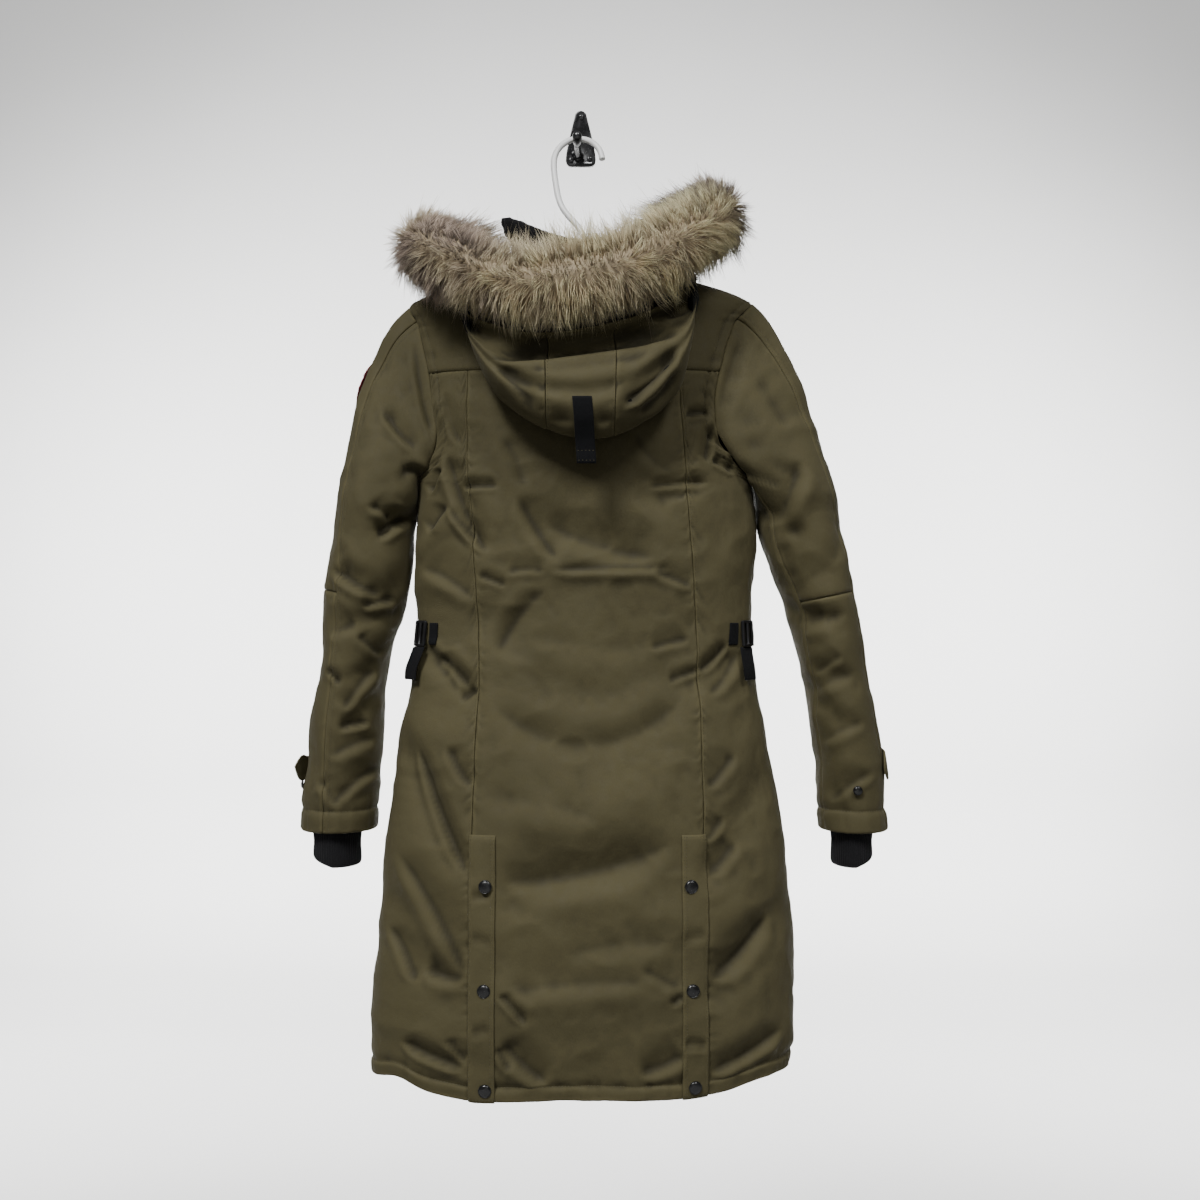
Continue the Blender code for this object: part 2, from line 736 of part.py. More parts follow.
def add_flap(name, net, x_edges, levels, cloth, front=False):
    """A strip of cloth laid on the body between two values of x."""
    x = np.linspace(*x_edges, 4)[None, :].repeat(len(levels), 0)
    z = levels[:, None].repeat(4, 1)
    u = turn_at(x, z)
    if front:
        u = (180 - u)[:, ::-1]
    add_cloth(name, net.lay, u, z, FLAP_WALL, cloth, out=LAY_GAP + FLAP_WALL)


def build_flaps(back, front, cloth, snap):
    """The vent flaps over the slits in the back, and the storm flap over the front opening."""
    net = joined([back[-1], back[0], back[1]])
    levels = LOWER_LEVELS[LOWER_LEVELS <= VENT_TOP].copy()
    places = {
        "left": (-123.5, -94.0, (-104.5, -105.5, -104.5)),
        "right": (118.5, 147.0, (128.0, 129.5, 132.0)),
    }
    for name, (first, last, snaps) in places.items():
        add_flap(f"vent_flap_{name}", net, (first, last), levels, cloth)
        for number, (x, z) in enumerate(zip(snaps, (-925.0, -1041.0, -1149.0)), 1):
            place = np.array([turn_at(x, z)]), np.array([z])
            add_snap(f"vent_snap_{name}_{number}", net.lay, *place, LAY_GAP + FLAP_WALL, snap)
    across = Net(body, *(np.hstack(g) for g in zip(front[1], (front[-1][0] + 360, front[-1][1]))))
    levels = across.v[:-1, 0].copy()
    levels[0] += 5
    add_flap("storm_flap", across, (-30.0, 36.0), levels, cloth, front=True)
    for number, z in enumerate((-260.0, -440.0, -620.0, -800.0, -980.0), 1):
        place = np.array([180 - turn_at(22.0, z)]), np.array([z])
        add_snap(f"front_snap_{number}", across.lay, *place, LAY_GAP + FLAP_WALL, snap)


def turned(name, profile, segments, material):
    """A turned solid: a profile of (radius, height) from its top down, spun about Z by a Screw."""
    mesh = bpy.data.meshes.new(name)
    points = [(r * MM, 0.0, h * MM) for r, h in profile]
    mesh.from_pydata(points, [(i, i + 1) for i in range(len(points) - 1)], [])
    obj = add_object(name, mesh, material, smooth=False)
    screw = obj.modifiers.new("spin", "SCREW")
    screw.steps = screw.render_steps = segments
    screw.use_merge_vertices = True
    screw.merge_threshold = 0.00001
    screw.use_smooth_shade = True
    return obj


def face_along(obj, place, normal):
    obj.location = Vector(place) * MM
    obj.rotation_mode = "QUATERNION"
    obj.rotation_quaternion = Vector(normal).to_track_quat("Z", "Y")


def add_snap(name, skin, u, v, out, material, radius=SNAP_RADIUS):
    """A press stud's domed cap, standing just clear of the cloth that it is set in."""
    place = skin(u, v, out + 1.0)[0]
    normal = unit(skin(u, v, out + 10)[0] - place)
    cap = [
        (0.0, SNAP_HEIGHT),
        (radius * 0.55, SNAP_HEIGHT * 0.9),
        (radius * 0.88, SNAP_HEIGHT * 0.62),
        (radius, SNAP_HEIGHT * 0.22),
        (radius * 0.97, 0.0),
        (0.0, 0.0),
    ]
    face_along(turned(name, cap, 12, material), place, normal)


def build_sleeves(cloth, knit, snap, badge):
    cap_rows = np.array([0, 0.14, 0.3, 0.5, 0.75, 1.0])
    heights = np.array([-535, -566, ELBOW_SEAM, -628, -655, -685, -720, -760, -800, -842, SLEEVE_HEM])
    rows = np.concatenate([cap_rows, sleeve_station(heights)])
    elbow = sleeve_station(ELBOW_SEAM)
    gap = SEAM_GAP * 0.65 / 50 * 180 / pi
    for side, name in ((-1, "left"), (1, "right")):

        def skin(u, v, out=0.0, side=side):
            return sleeve(side, u, v, out)

        def grid(stations, first, last, columns):
            ends = [SLEEVE_SEAMS.read(f"{name}_{end}", stations)[:, None] for end in (first, last)]
            turns = 360 if first == "last" else 0
            share = np.linspace(0, 1, columns + 1)
            u = (ends[0] + gap) * (1 - share) + (ends[1] + turns - gap) * share
            return u, np.repeat(stations[:, None], columns + 1, 1)

        main = grid(rows, "last", "first", 13)
        add_cloth(f"sleeve_{name}_main", skin, *main, BODY_WALL, cloth)
        upper, lower = rows[rows <= elbow].copy(), rows[rows >= elbow].copy()
        upper[-1] -= 0.15 / 373
        lower[0] += 0.15 / 373
        for part, stations in (("upper", upper), ("lower", lower)):
            add_cloth(
                f"sleeve_{name}_elbow_{part}", skin, *grid(stations, "first", "last", 5), BODY_WALL, cloth
            )
        panel = grid(rows, "first", "last", 5)
        net = Net(skin, np.hstack([main[0] - 360, panel[0]]), np.hstack([main[1], panel[1]]))
        add_rib_cuff(f"rib_cuff_{name}", net, side, knit)
        add_cuff_tab(f"cuff_tab_{name}", net, CUFF_TABS[name], cloth)
        place = np.array([90.0 if side > 0 else 14.0]), np.array([sleeve_station(-826.0)])
        add_snap(f"cuff_snap_{name}", net.lay, *place, 0.0, snap, radius=5.6)
        if side < 0:
            add_badge(net, badge)


def add_rib_cuff(name, net, side, material):
    """A knitted tube sewn inside the sleeve's end, drawn in at the wrist, its end hanging unevenly."""
    table = SLEEVE_RIGHT if side > 0 else SLEEVE_LEFT
    middle = np.array([table.read("x", SLEEVE_HEM) - 2.0, table.read("y", SLEEVE_HEM), 0])
    rows = Table(
        "z half_width half_depth lift held",
        (-921, 28.5, 35.0, 1.0, 0.0),
        (-912, 28.5, 36.0, 0.7, 0.0),
        (-890, 28.0, 37.0, 0.2, 0.0),
        (-866, 30.0, 38.5, 0.0, 0.35),
        (-846, 33.0, 40.0, 0.0, 1.0),
    )

    def skin(u, v, out=0.0):
        across, rear = np.cos(np.radians(u)), np.sin(np.radians(u))
        narrow = 0.86 if side > 0 else 1.0
        x = middle[0] + side * (rows.read("half_width", v) * narrow + out) * across
        y = middle[1] - (rows.read("half_depth", v) + out) * rear
        lift = rows.read("lift", v) * 9 * np.clip(across, 0, 1)
        free = np.stack([x, y, v + lift], -1)
        held = rows.read("held", v)[..., None]
        return free * (1 - held) + held * net.lay(u, sleeve_station(v), out - BODY_WALL - 0.4)

    turns = net.u[np.argmin(np.abs(net.v[:, 0] - sleeve_station(-846.0)))]
    u, v = np.meshgrid(turns[:-1], rows.station)
    add_cloth(name, skin, u, v, KNIT_WALL, material, closed=True)


def add_cuff_tab(name, net, tab, material):
    """A tab that comes round the outer side of the cuff from the front. Its end stands off a little."""
    share = np.array([-1.0, 0.0, 1.0])
    own = net.u[np.argmin(np.abs(net.v[:, 0] - sleeve_station(tab.columns["z"][0])))]
    inside = (own > tab.station[0] + 3) & (own < tab.station[-1] - 3)
    turns = np.unique(np.round(np.concatenate([tab.station[[0, -2, -1]], own[inside]]), 2))
    height = tab.read("half_height", turns)[:, None] * share
    down = sleeve_station(tab.read("z", turns)[:, None] + height)
    lift = tab.read("lift", turns)[:, None]

    def lifted(u, v, out=0.0):
        low = net.lay(u, v, 0.0)
        high = net.lay(u, v, 10.0)
        return low + (high - low) / 10 * (lift + CLOSE_GAP + out)[..., None]

    u = np.repeat(turns[:, None], 3, 1)
    add_cloth(name, lifted, u, down, FLAP_WALL, material, out=FLAP_WALL)


def add_badge(net, material):
    """A plain round badge on the outer side of the wearer's left sleeve."""
    radius, middle, z = 34.0, -16.0, -374.0
    own = net.u[3]
    own = own[np.abs(own - middle) < 30]
    turns = np.unique(np.concatenate([own, own[:-1] / 2 + own[1:] / 2, middle + np.array([-34, -30, 30, 34])]))
    turns = turns - middle
    half = np.sqrt(1 - (turns / 35.0) ** 2) * radius
    share = np.array([-1, -0.4, 0.4, 1.0])
    down = (z - half[:, None] * share + 250) / (UPPER_ARM + 250) * 0.93
    u = np.repeat((turns + middle)[:, None], 4, 1)
    add_cloth("sleeve_badge", net.lay, u, down, 1.6, material, out=LAY_GAP + 1.8)


def build_collar(cloth, fleece):
    turns = np.linspace(-178.6, 178.6, 29)
    u, v = np.meshgrid(turns, np.array([0, 0.5, 1.0]))
    add_cloth("collar", collar, u, v, 4.0, cloth)

    def lining(turn, rise, out=0.0):
        return collar(turn, rise * 1.06, out - 4.0 - SEAM_GAP)

    u, v = np.meshgrid(turns, np.array([0, 0.5, 1.0]))
    add_cloth("collar_lining", lining, u, v, FLEECE_WALL, fleece)


def build_hood(cloth, fur, webbing):
    down = np.array([0, 0.07, 0.14, 0.2, 0.27, 0.34, 0.4, 0.46, 0.52, 0.6, 0.7, 0.8, 0.9, 1.0])
    gap = SEAM_GAP * 0.75 / 55
    for name, stations in HOOD_STATIONS.items():
        stations = np.array(stations, float)
        stations[0] += gap
        stations[-1] -= gap
        u, v = np.meshgrid(stations, down)
        add_cloth(f"hood_{name}", hood, u, v, HOOD_WALL, cloth)
    add_ruff("fur_ruff", fur)
    strap = Table(
        "z x y",
        (-446, 10.0, -245.5),
        (-432, 9.0, -247),
        (-420, 8.2, -250),
        (-409, 7.6, -255),
        (-398, 7.0, -260.5),
        (-386, 6.0, -263.5),
        (-374, 5.0, -264.5),
    )
    across = np.array([-10.5, 10.5])

    def skin(u, v, out=0.0):
        x = strap.read("x", v) + u
        return np.stack([x, strap.read("y", v) + 1.3 - out, v + 0 * u], -1)

    u, v = np.meshgrid(across, strap.station)
    add_cloth("hood_strap", skin, u, v, WEBBING, webbing)


def add_tube(name, points, radii, material, sides_level, cyclic=False):
    """A tube along points, in millimetres, with a radius for each."""
    curve = bpy.data.curves.new(name, "CURVE")
    curve.dimensions = "3D"
    curve.bevel_depth = MM
    curve.bevel_resolution = sides_level
    curve.use_fill_caps = not cyclic
    spline = curve.splines.new("POLY")
    spline.points.add(len(points) - 1)
    spline.use_cyclic_u = cyclic
    for knot, place, radius in zip(spline.points, points, radii):
        knot.co = (*(Vector(place) * MM), 1.0)
        knot.radius = radius
    return add_object(name, curve, material)


def add_ruff(name, material):
    """The fur round the hood's edge as one thick roll, as far out as its hair reaches."""
    inner = np.linspace(0, RUFF_END, 37)
    points, radii = list(RUFF.point(inner)), list(RUFF.read("radius", inner))
    for end, step in ((0, -1), (-1, 1)):
        tip, before = (0, 1) if end == 0 else (-1, -2)
        along = unit(points[tip] - points[before])
        middle, radius = points[tip], radii[tip]
        for angle in (25, 50, 70, 84):
            place = middle + along * radius * 0.55 * sin(radians(angle))
            size = radius * cos(radians(angle))
            if end == 0:
                points.insert(0, place)
                radii.insert(0, size)
            else:
                points.append(place)
                radii.append(size)
    add_tube(name, points, radii, material, 5)


def build_waist(back, front, webbing, plastic):
    """On each side a strap round the waist, its ladder buckle and the loose end that hangs from it."""
    level, half = -640.0, 12.5
    for side, name, stand in ((-1, "left", 2.0), (1, "right", 1.1)):
        grids = [back[side], front[side]]
        net = joined(grids if side > 0 else grids[::-1])
        middle = net.u[np.argmin(np.abs(net.v[:, 0] - level))]

        def strip(first, last, side=side, middle=middle):
            """The net's own columns between two turns, with the ends added."""
            own = np.sort(np.abs(middle))
            own = own[(own > first + 2) & (own < last - 2)]
            turns = side * np.concatenate([[first], own[np.diff(own, prepend=0) > 1], [last]])
            u, v = np.meshgrid(turns, np.array([level - half, level, level + half]))
            return ordered(side, u, v)

        for part, first, last in (("strap", 77, 122), ("anchor", 55, 61)):
            add_cloth(
                f"waist_{part}_{name}", net.lay, *strip(first, last), WEBBING, webbing,
                out=CLOSE_GAP + WEBBING,
            )
        add_buckle(f"waist_buckle_{name}", net.lay, side * 69.0, level, stand, plastic)
        add_tail(f"waist_tail_{name}", side, webbing)


def add_buckle(name, skin, turn, level, stand, material):
    """A ladder buckle: a frame with two slots, standing just clear of the waist."""
    width, height, deep = 21.0, 31.0, 3.6
    u, v = np.array([turn]), np.array([level])
    place = skin(u, v, deep / 2 + stand)[0]
    normal = unit(skin(u, v, deep / 2 + 10)[0] - place)
    mesh = bpy.data.meshes.new(name)
    bm = bmesh.new()
    bmesh.ops.create_cube(bm, size=1)
    bmesh.ops.scale(bm, vec=Vector((width, height, deep)) * MM, verts=bm.verts)
    bm.to_mesh(mesh)
    bm.free()
    obj = add_object(name, mesh, material, smooth=False)
    obj.rotation_mode = "QUATERNION"
    z_axis, y_axis = Vector(normal), Vector((0, 0, 1))
    x_axis = y_axis.cross(z_axis).normalized()
    y_axis = z_axis.cross(x_axis)
    turned_to = Matrix((x_axis, y_axis, z_axis)).transposed()
    obj.rotation_quaternion = turned_to.to_quaternion()
    obj.location = Vector(place) * MM
    for number, shift in enumerate((-4.6, 4.6)):
        slot = bpy.data.meshes.new(f"{name}_slot_{number}")
        bm = bmesh.new()
        bmesh.ops.create_cube(bm, size=1)
        bmesh.ops.scale(bm, vec=Vector((4.6, height - 6.0, deep * 3)) * MM, verts=bm.verts)
        bmesh.ops.translate(bm, vec=Vector((shift, 0, 0)) * MM, verts=bm.verts)
        bm.to_mesh(slot)
        bm.free()
        cutter = bpy.data.objects.new(slot.name, slot)
        CUTTERS.objects.link(cutter)
        cutter.hide_render = True
        cutter.display_type = "WIRE"
        cutter.rotation_mode = "QUATERNION"
        cutter.rotation_quaternion = obj.rotation_quaternion
        cutter.location = obj.location
        cut = obj.modifiers.new(f"slot_{number}", "BOOLEAN")
        cut.operation = "DIFFERENCE"
        cut.object = cutter
    rounding = obj.modifiers.new("soft edges", "BEVEL")
    rounding.width = 0.5 * MM
    rounding.segments = 1
    rounding.limit_method = "ANGLE"


def add_tail(name, side, material):
    """The loose end of the waist strap, falling from the buckle."""
    tail = Table(
        "drop out_left out_right lift",
        (0, 0.0, 0.0, 4.0),
        (12, 1.0, -3.0, 7.0),
        (26, 4.0, -5.0, 9.0),
        (38, 5.0, -5.0, 8.0),
    )
    top, turn = -656.0, 68.0
    drift = "out_right" if side > 0 else "out_left"

    def skin(u, v, out=0.0):
        base = body(side * turn, top - v, 0.0)
        normal = outward(body_shape, np.full_like(v, side * turn), top - v, 1.0, 3.0)
        flat = unit(normal * np.array([1, 1, 0]))
        across = np.cross(flat, np.array([0, 0, 1.0]))
        shift = (u + side * -1.0 * tail.read(drift, v))[..., None] * across
        return base + shift + flat * (tail.read("lift", v) + out)[..., None]

    u, v = np.meshgrid(np.array([-11.0, 11.0]), tail.station)
    add_cloth(name, skin, u, v, WEBBING, material)


def ridge_height(x):
    """Height of the shoulder's ridge at x."""
    z = np.linspace(NECK_LEVEL, SHOULDER_POINT, 60)
    edge = np.where(x < 3, BODY.read("left", z), BODY.read("right", z))
    order = np.argsort(np.abs(edge - x))
    return z[order[0]]


def hanger_depth(z):
    """The hanger leans out from the wall, from its hook down to its bar."""
    return -29.0 + (z + 8.0) * 0.335


def build_hanger(plastic):
    """A tube hanger: two arms under the shoulders, a bar between them, and a hook of thicker wire."""
    drop = BODY_WALL / cos(radians(19)) + HANGER_TUBE / cos(radians(19)) + 1.35
    arm_ends, bar, corner = (-168.0, 175.0), -286.0, 16.0
    top = NECK_LEVEL - 4.0
    outline = [(3.5, top + 8)]
    for x in (26, 50, 80, 105, 130, 155):
        outline.append((x, min(top, ridge_height(x) - drop)))
    outline.append((arm_ends[1], ridge_height(arm_ends[1]) - drop - 2))
    outline += [
        (arm_ends[1] + 7, -252.0),
        (arm_ends[1] + 6, bar + corner),
        (arm_ends[1] - 6, bar + 3),
        (arm_ends[1] - 22, bar),
    ]
    outline += [(x, bar) for x in (90, 20, -50, -110)]
    outline += [
        (arm_ends[0] + 22, bar),
        (arm_ends[0] + 6, bar + 3),
        (arm_ends[0] - 6, bar + corner),
        (arm_ends[0] - 7, -252.0),
        (arm_ends[0], ridge_height(arm_ends[0]) - drop - 2),
    ]
    for x in (-148, -123, -98, -74, -44, -20):
        outline.append((x, min(top, ridge_height(x) - drop)))
    points = [(x, hanger_depth(z), z) for x, z in outline]
    add_tube("hanger_frame", points, [HANGER_TUBE] * len(points), plastic, 2, cyclic=True)
    crest = -9.0
    hook = [(27.8, -38), (26.5, -28), (21, -19), (13, -12.5), (4, crest - 0.6), (-4, crest)]
    hook += [(-13, -10.5), (-22, -16), (-29, -24), (-33, -34), (-34, -44), (-33, -59)]
    hook += [(-30.5, -76), (-28, -91), (-24, -104), (-17, -115.5), (-8, -126), (0, -136)]
    hook += [(3.3, -146), (3.5, -160), (3.5, top + 8 + HANGER_TUBE + 0.2)]
    points = [(x, hanger_depth(z), z) for x, z in hook]
    add_tube("hanger_hook", points, [HOOK_WIRE] * len(points), plastic, 2)


def build_wall_hook(metal):
    """A cast plate, flat against the wall, with an arm and knob under the hanger's hook."""
    thick, height, foot = 4.5, 73.0, 40.0
    plate = bpy.data.curves.new("hook_plate", "CURVE")
    plate.dimensions = "2D"
    plate.fill_mode = "BOTH"
    plate.extrude = thick / 2 * MM
    spline = plate.splines.new("POLY")
    outline = [(sin(radians(a)) * 8.0, 28.5 + cos(radians(a)) * 8.0) for a in range(-60, 61, 20)]
    outline += [(14.5, 2.0), (19.0, -20.0)]
    outline += [(12 + 7.5 * cos(radians(a)), -29 - 7.5 * sin(radians(a))) for a in range(0, 91, 30)]
    outline += [(-12 - 7.5 * cos(radians(a)), -29 - 7.5 * sin(radians(a))) for a in range(90, -1, -30)]
    outline += [(-19.0, -20.0), (-14.5, 2.0)]
    spline.points.add(len(outline) - 1)
    spline.use_cyclic_u = True
    for knot, (x, z) in zip(spline.points, outline):
        knot.co = (x * MM, z * MM, 0, 1)
    obj = add_object("hook_plate", plate, metal)
    obj.rotation_euler = (pi / 2, 0, 0)
    obj.location = (0, -thick / 2 * MM, 0)
    # The arm reaches out under the wire and ends in a knob that keeps it from sliding off
    wire_y, wire_z = hanger_depth(-9.0), -9.0 - HOOK_WIRE - 0.3
    arm = [
        (-4, -thick - 0.3, -21.5),
        (-4, -10.0, -21.5),
        (-4, wire_y + 10, wire_z - 6.5),
        (-4, wire_y, wire_z - 4.4),
        (-4, wire_y - 7.0, wire_z - 3.4),
        (-4, wire_y - 11.0, wire_z + 1.5),
        (-4, wire_y - 12.5, wire_z + 6.0),
        (-4, wire_y - 12.9, wire_z + 9.0),
    ]
    radii = [6.2, 5.2, 4.4, 4.2, 5.0, 6.2, 5.6, 2.6]
    add_tube("hook_arm", arm, radii, metal, 3)
    for number, (x, z) in enumerate(((0.5, 28.0), (-12.5, -28.0), (11.5, -26.5)), 1):
        head = [(0.0, 1.6), (2.2, 1.3), (3.4, 0.0), (0.0, 0.0)]
        screw = turned(f"hook_screw_{number}", head, 12, metal)
        face_along(screw, (x, -thick - 0.3, z), (0, -1, 0))


def new_collection(name):
    collection = bpy.data.collections.new(name)
    bpy.context.scene.collection.children.link(collection)
    return collection


def main():
    cloth = finish("olive_twill", (0.105, 0.098, 0.055), 0.78)
    knit = finish("black_rib", (0.012, 0.012, 0.013), 0.9)
    fleece = finish("black_fleece", (0.01, 0.01, 0.011), 0.95)
    fur = finish("coyote_fur", (0.42, 0.35, 0.26), 0.8)
    webbing = finish("black_webbing", (0.015, 0.016, 0.018), 0.75)
    plastic = finish("black_plastic", (0.01, 0.01, 0.011), 0.3)
    snap = finish("black_snap", (0.02, 0.022, 0.024), 0.32, 0.6)
    badge = finish("red_badge", (0.28, 0.02, 0.03), 0.8)
    hanger = finish("white_plastic", (0.82, 0.82, 0.82), 0.35)
    iron = finish("black_hook", (0.012, 0.012, 0.013), 0.22, 0.7)
    back = build_back(cloth)
    front = build_fronts(cloth)
    build_flaps(back, front, cloth, snap)
    build_sleeves(cloth, knit, snap, badge)
    build_collar(cloth, fleece)
    build_hood(cloth, fur, webbing)
    build_waist(back, front, webbing, plastic)
    build_hanger(hanger)
    build_wall_hook(iron)


clear_scene()
PARTS = new_collection("fur_trimmed_parka")
CUTTERS = new_collection("cutters")
main()
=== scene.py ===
"""Looks of a long olive parka with a fur ruff, hanging on a white hanger from a wall hook.

Sizes are in millimetres and turned into metres as each mesh is made. +X is the wearer's right,
-Y is the side of the coat's back and +Z is up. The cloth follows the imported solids' own sections,
with finer creases, seams and stitching laid over them.
"""

from functools import partial
from math import cos, pi, radians, sin

import bmesh
import bpy
import numpy as np
from bpy.props import FloatProperty, FloatVectorProperty, IntProperty, PointerProperty
from mathutils import Matrix, Vector


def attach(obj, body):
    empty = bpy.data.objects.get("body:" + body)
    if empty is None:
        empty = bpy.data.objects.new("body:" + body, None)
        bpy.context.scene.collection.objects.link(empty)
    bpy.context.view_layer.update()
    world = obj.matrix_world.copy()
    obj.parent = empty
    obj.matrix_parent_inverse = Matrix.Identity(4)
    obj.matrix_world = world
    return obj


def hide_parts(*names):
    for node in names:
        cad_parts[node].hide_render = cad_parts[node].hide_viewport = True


bl_info = {
    "name": "Fur trimmed parka",
    "version": (1, 0, 0),
    "blender": (4, 5, 0),
    "location": "3D View > Sidebar > Parka",
    "description": "Cloth, fur and hardware of a parka that hangs from a wall hook",
    "category": "Object",
}

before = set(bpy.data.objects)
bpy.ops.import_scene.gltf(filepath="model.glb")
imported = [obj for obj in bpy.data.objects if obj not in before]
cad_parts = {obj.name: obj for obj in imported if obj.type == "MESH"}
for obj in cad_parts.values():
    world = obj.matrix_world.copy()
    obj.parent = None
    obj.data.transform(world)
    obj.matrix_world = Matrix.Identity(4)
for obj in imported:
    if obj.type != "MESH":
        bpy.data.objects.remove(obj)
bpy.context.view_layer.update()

MM = 0.001
BODY_WALL = 5.0
COLLAR_WALL = 4.0
HOOD_WALL = 3.6
FLAP_WALL = 2.2
WEBBING = 1.6
KNIT_WALL = 2.6
FLEECE_WALL = 2.6
SEAM_GAP = 0.4
LAY_GAP = 1.2
CLOSE_GAP = 0.7
HEM_LEVEL = -1162.0
VENT_TOP = -868.0
UNDERARM = -462.0
SHOULDER_POINT = -236.0
NECK_LEVEL = -190.0
YOKE_STEP = 80
UPPER_ARM = -505.0
ELBOW_SEAM = -597.0
SLEEVE_HEM = -878.0
SNAP_RADIUS = 7.6
HANGER_TUBE = 4.5
HOOK_WIRE = 3.0
WIRE_EXTRA = 0.9
HANGER_SLOPE = 19
THREAD_RADIUS = 0.42
STITCH_GAP = 0.8
RUFF_END = 12
FUR_CORE_SHARE = 0.60
FUR_SEED = 7
OFF_WALL_GAP = 1.0
HOOD_CREASE = 0.27
ARM_MIDDLE = (SHOULDER_POINT + UNDERARM) / 2
ARM_HALF = (SHOULDER_POINT - UNDERARM) / 2
SIDES = ("left", "right", "low", "high")
BACK_END = 178.6
OFF_WALL = (0, -1, 0)
CAMERA_PLACE = (0.025, -1.76, -0.600)
CAMERA_LENS = 40.5


class Table:
    """A short table read as smooth curves. The first column is the station, the others are values."""

    def __init__(self, heading, *rows):
        values = np.array(rows, float)
        self.station = values[:, 0]
        self.columns = dict(zip(heading.split()[1:], values[:, 1:].T))

    def read(self, name, at):
        x, y = self.station, self.columns[name]
        slope = np.gradient(y, x)
        at = np.clip(at, x[0], x[-1])
        i = np.clip(np.searchsorted(x, at) - 1, 0, len(x) - 2)
        span = x[i + 1] - x[i]
        f = (at - x[i]) / span
        ends = (1 + 2 * f) * (1 - f) ** 2 * y[i] + f**2 * (3 - 2 * f) * y[i + 1]
        return ends + span * (f * (1 - f) ** 2 * slope[i] - f**2 * (1 - f) * slope[i + 1])

    def point(self, at):
        return np.stack([self.read(name, at) for name in "xyz"], -1)


# The body's sections from hem to neck, as in the solids
BODY = Table(
    "z left right front back square front_drop back_drop seam_left seam_right",
    (-1162, -248, 251, -36, -238, 2.6, 0, 3, -122, 145),
    (-1100, -247, 257, -34, -241, 2.6, 0, 1, -122, 145),
    (-1010, -241, 256, -33, -239, 2.6, 0, 0, -122, 145),
    (-914, -234, 248, -33, -233, 2.6, 0, 0, -122, 145),
    (-842, -226, 240, -33, -226, 2.5, 0, 0, -121, 144),
    (-770, -218, 227, -34, -216, 2.5, 0, 0, -119, 142),
    (-721, -207, 218, -36, -208, 2.4, 0, 0, -117, 141),
    (-673, -202, 210, -38, -201, 2.4, 0, 0, -116, 139),
    (-636, -198, 208, -38, -196, 2.4, 0, 0, -118, 138),
    (-588, -198, 209, -35, -194, 2.5, 0, 0, -120, 135),
    (-539, -198, 214, -30, -193, 2.6, 0, 0, -123, 132),
    (-490, -195, 213, -26, -192, 2.7, 0, 0, -127, 128),
    (-440, -193, 208, -24, -190, 2.7, 4, 0, -130, 125),
    (-380, -194, 206, -22, -186, 2.7, 12, 0, -131, 121),
    (-320, -197, 207, -21, -180, 2.7, 26, 0, -131, 117),
    (-270, -201, 209, -22, -172, 2.6, 38, 0, -131, 115),
    (-236, -201, 208, -28, -165, 2.5, 45, 0, -131, 115),
    (-226, -181, 188, -30, -162, 2.4, 46, 4, -120, 110),
    (-215, -150, 157, -31, -157, 2.3, 46, 10, -100, 100),
    (-205, -120, 127, -31, -152, 2.3, 46, 15, -90, 90),
    (-197, -97, 104, -30, -148, 2.2, 46, 18, -70, 75),
    (-190, -80, 87, -29, -144, 2.2, 46, 20, -60, 65),
)
ARMHOLE = Table(
    "turn back_left back_right front",
    (0, 0, 0, 0),
    (30, 12, 24, 22),
    (55, 20, 35, 37),
    (72, 25, 40, 43),
    (97, 30, 45, 46),
    (120, 33, 43, 42),
    (140, 27, 31, 30),
    (160, 12, 13, 13),
    (180, 0, 0, 0),
)
HEM_WAVE = Table(
    "turn lift",
    (-180, 0),
    (-125, 2),
    (-92, 4),
    (-70, 8),
    (-52, 14),
    (-38, 2),
    (-28, -2),
    (0, 0),
    (22, 0),
    (36, 4),
    (48, 11),
    (80, 14),
    (105, 9),
    (140, 2),
    (180, 0),
)
SIDE_SEAM = Table("z turn", (HEM_LEVEL, 103), (-700, 103), (-600, 101), (-500, 94), (UNDERARM, 90))

# The body's largest folds, which the solids have too
LARGE_FOLDS = (
    # x0, z0, x1, z1, width, height
    (-40, -566, 105, -563, 14, 4.0),
    (-55, -500, 75, -548, 26, -6.0),
    (-110, -606, -35, -700, 26, -4.0),
    (-70, -712, 110, -700, 34, -5.0),
    (-90, -938, 90, -905, 26, -7.0),
    (-90, -1052, 100, -1046, 30, 4.0),
    (-225, -742, -130, -910, 18, -6.0),
    (-232, -930, -140, -1065, 24, -5.5),
    (222, -800, 150, -915, 20, -6.0),
    (236, -955, 150, -1058, 22, -6.5),
    (-172, -668, -122, -712, 12, -5.0),
    (178, -660, 128, -700, 14, -5.5),
    (96, -482, 140, -470, 12, -5.0),
    (-196, -545, -140, -500, 12, 4.0),
)
SLEEVE_LEFT = Table(
    "z x half_width y half_depth",
    (-878, -294.0, 45.5, -108, 47),
    (-820, -290.5, 44.5, -109, 48),
    (-771, -286.0, 43.5, -110, 49),
    (-722, -280.5, 41.5, -111, 50),
    (-673, -275.0, 39.5, -112, 51),
    (-624, -266.5, 45.0, -112, 53),
    (-590, -259.5, 48.5, -112, 56),
    (-545, -253.5, 50.0, -111, 59),
    (-505, -248.5, 49.5, -110, 61),
    (-480, -245.0, 49.5, -110, 61),
)
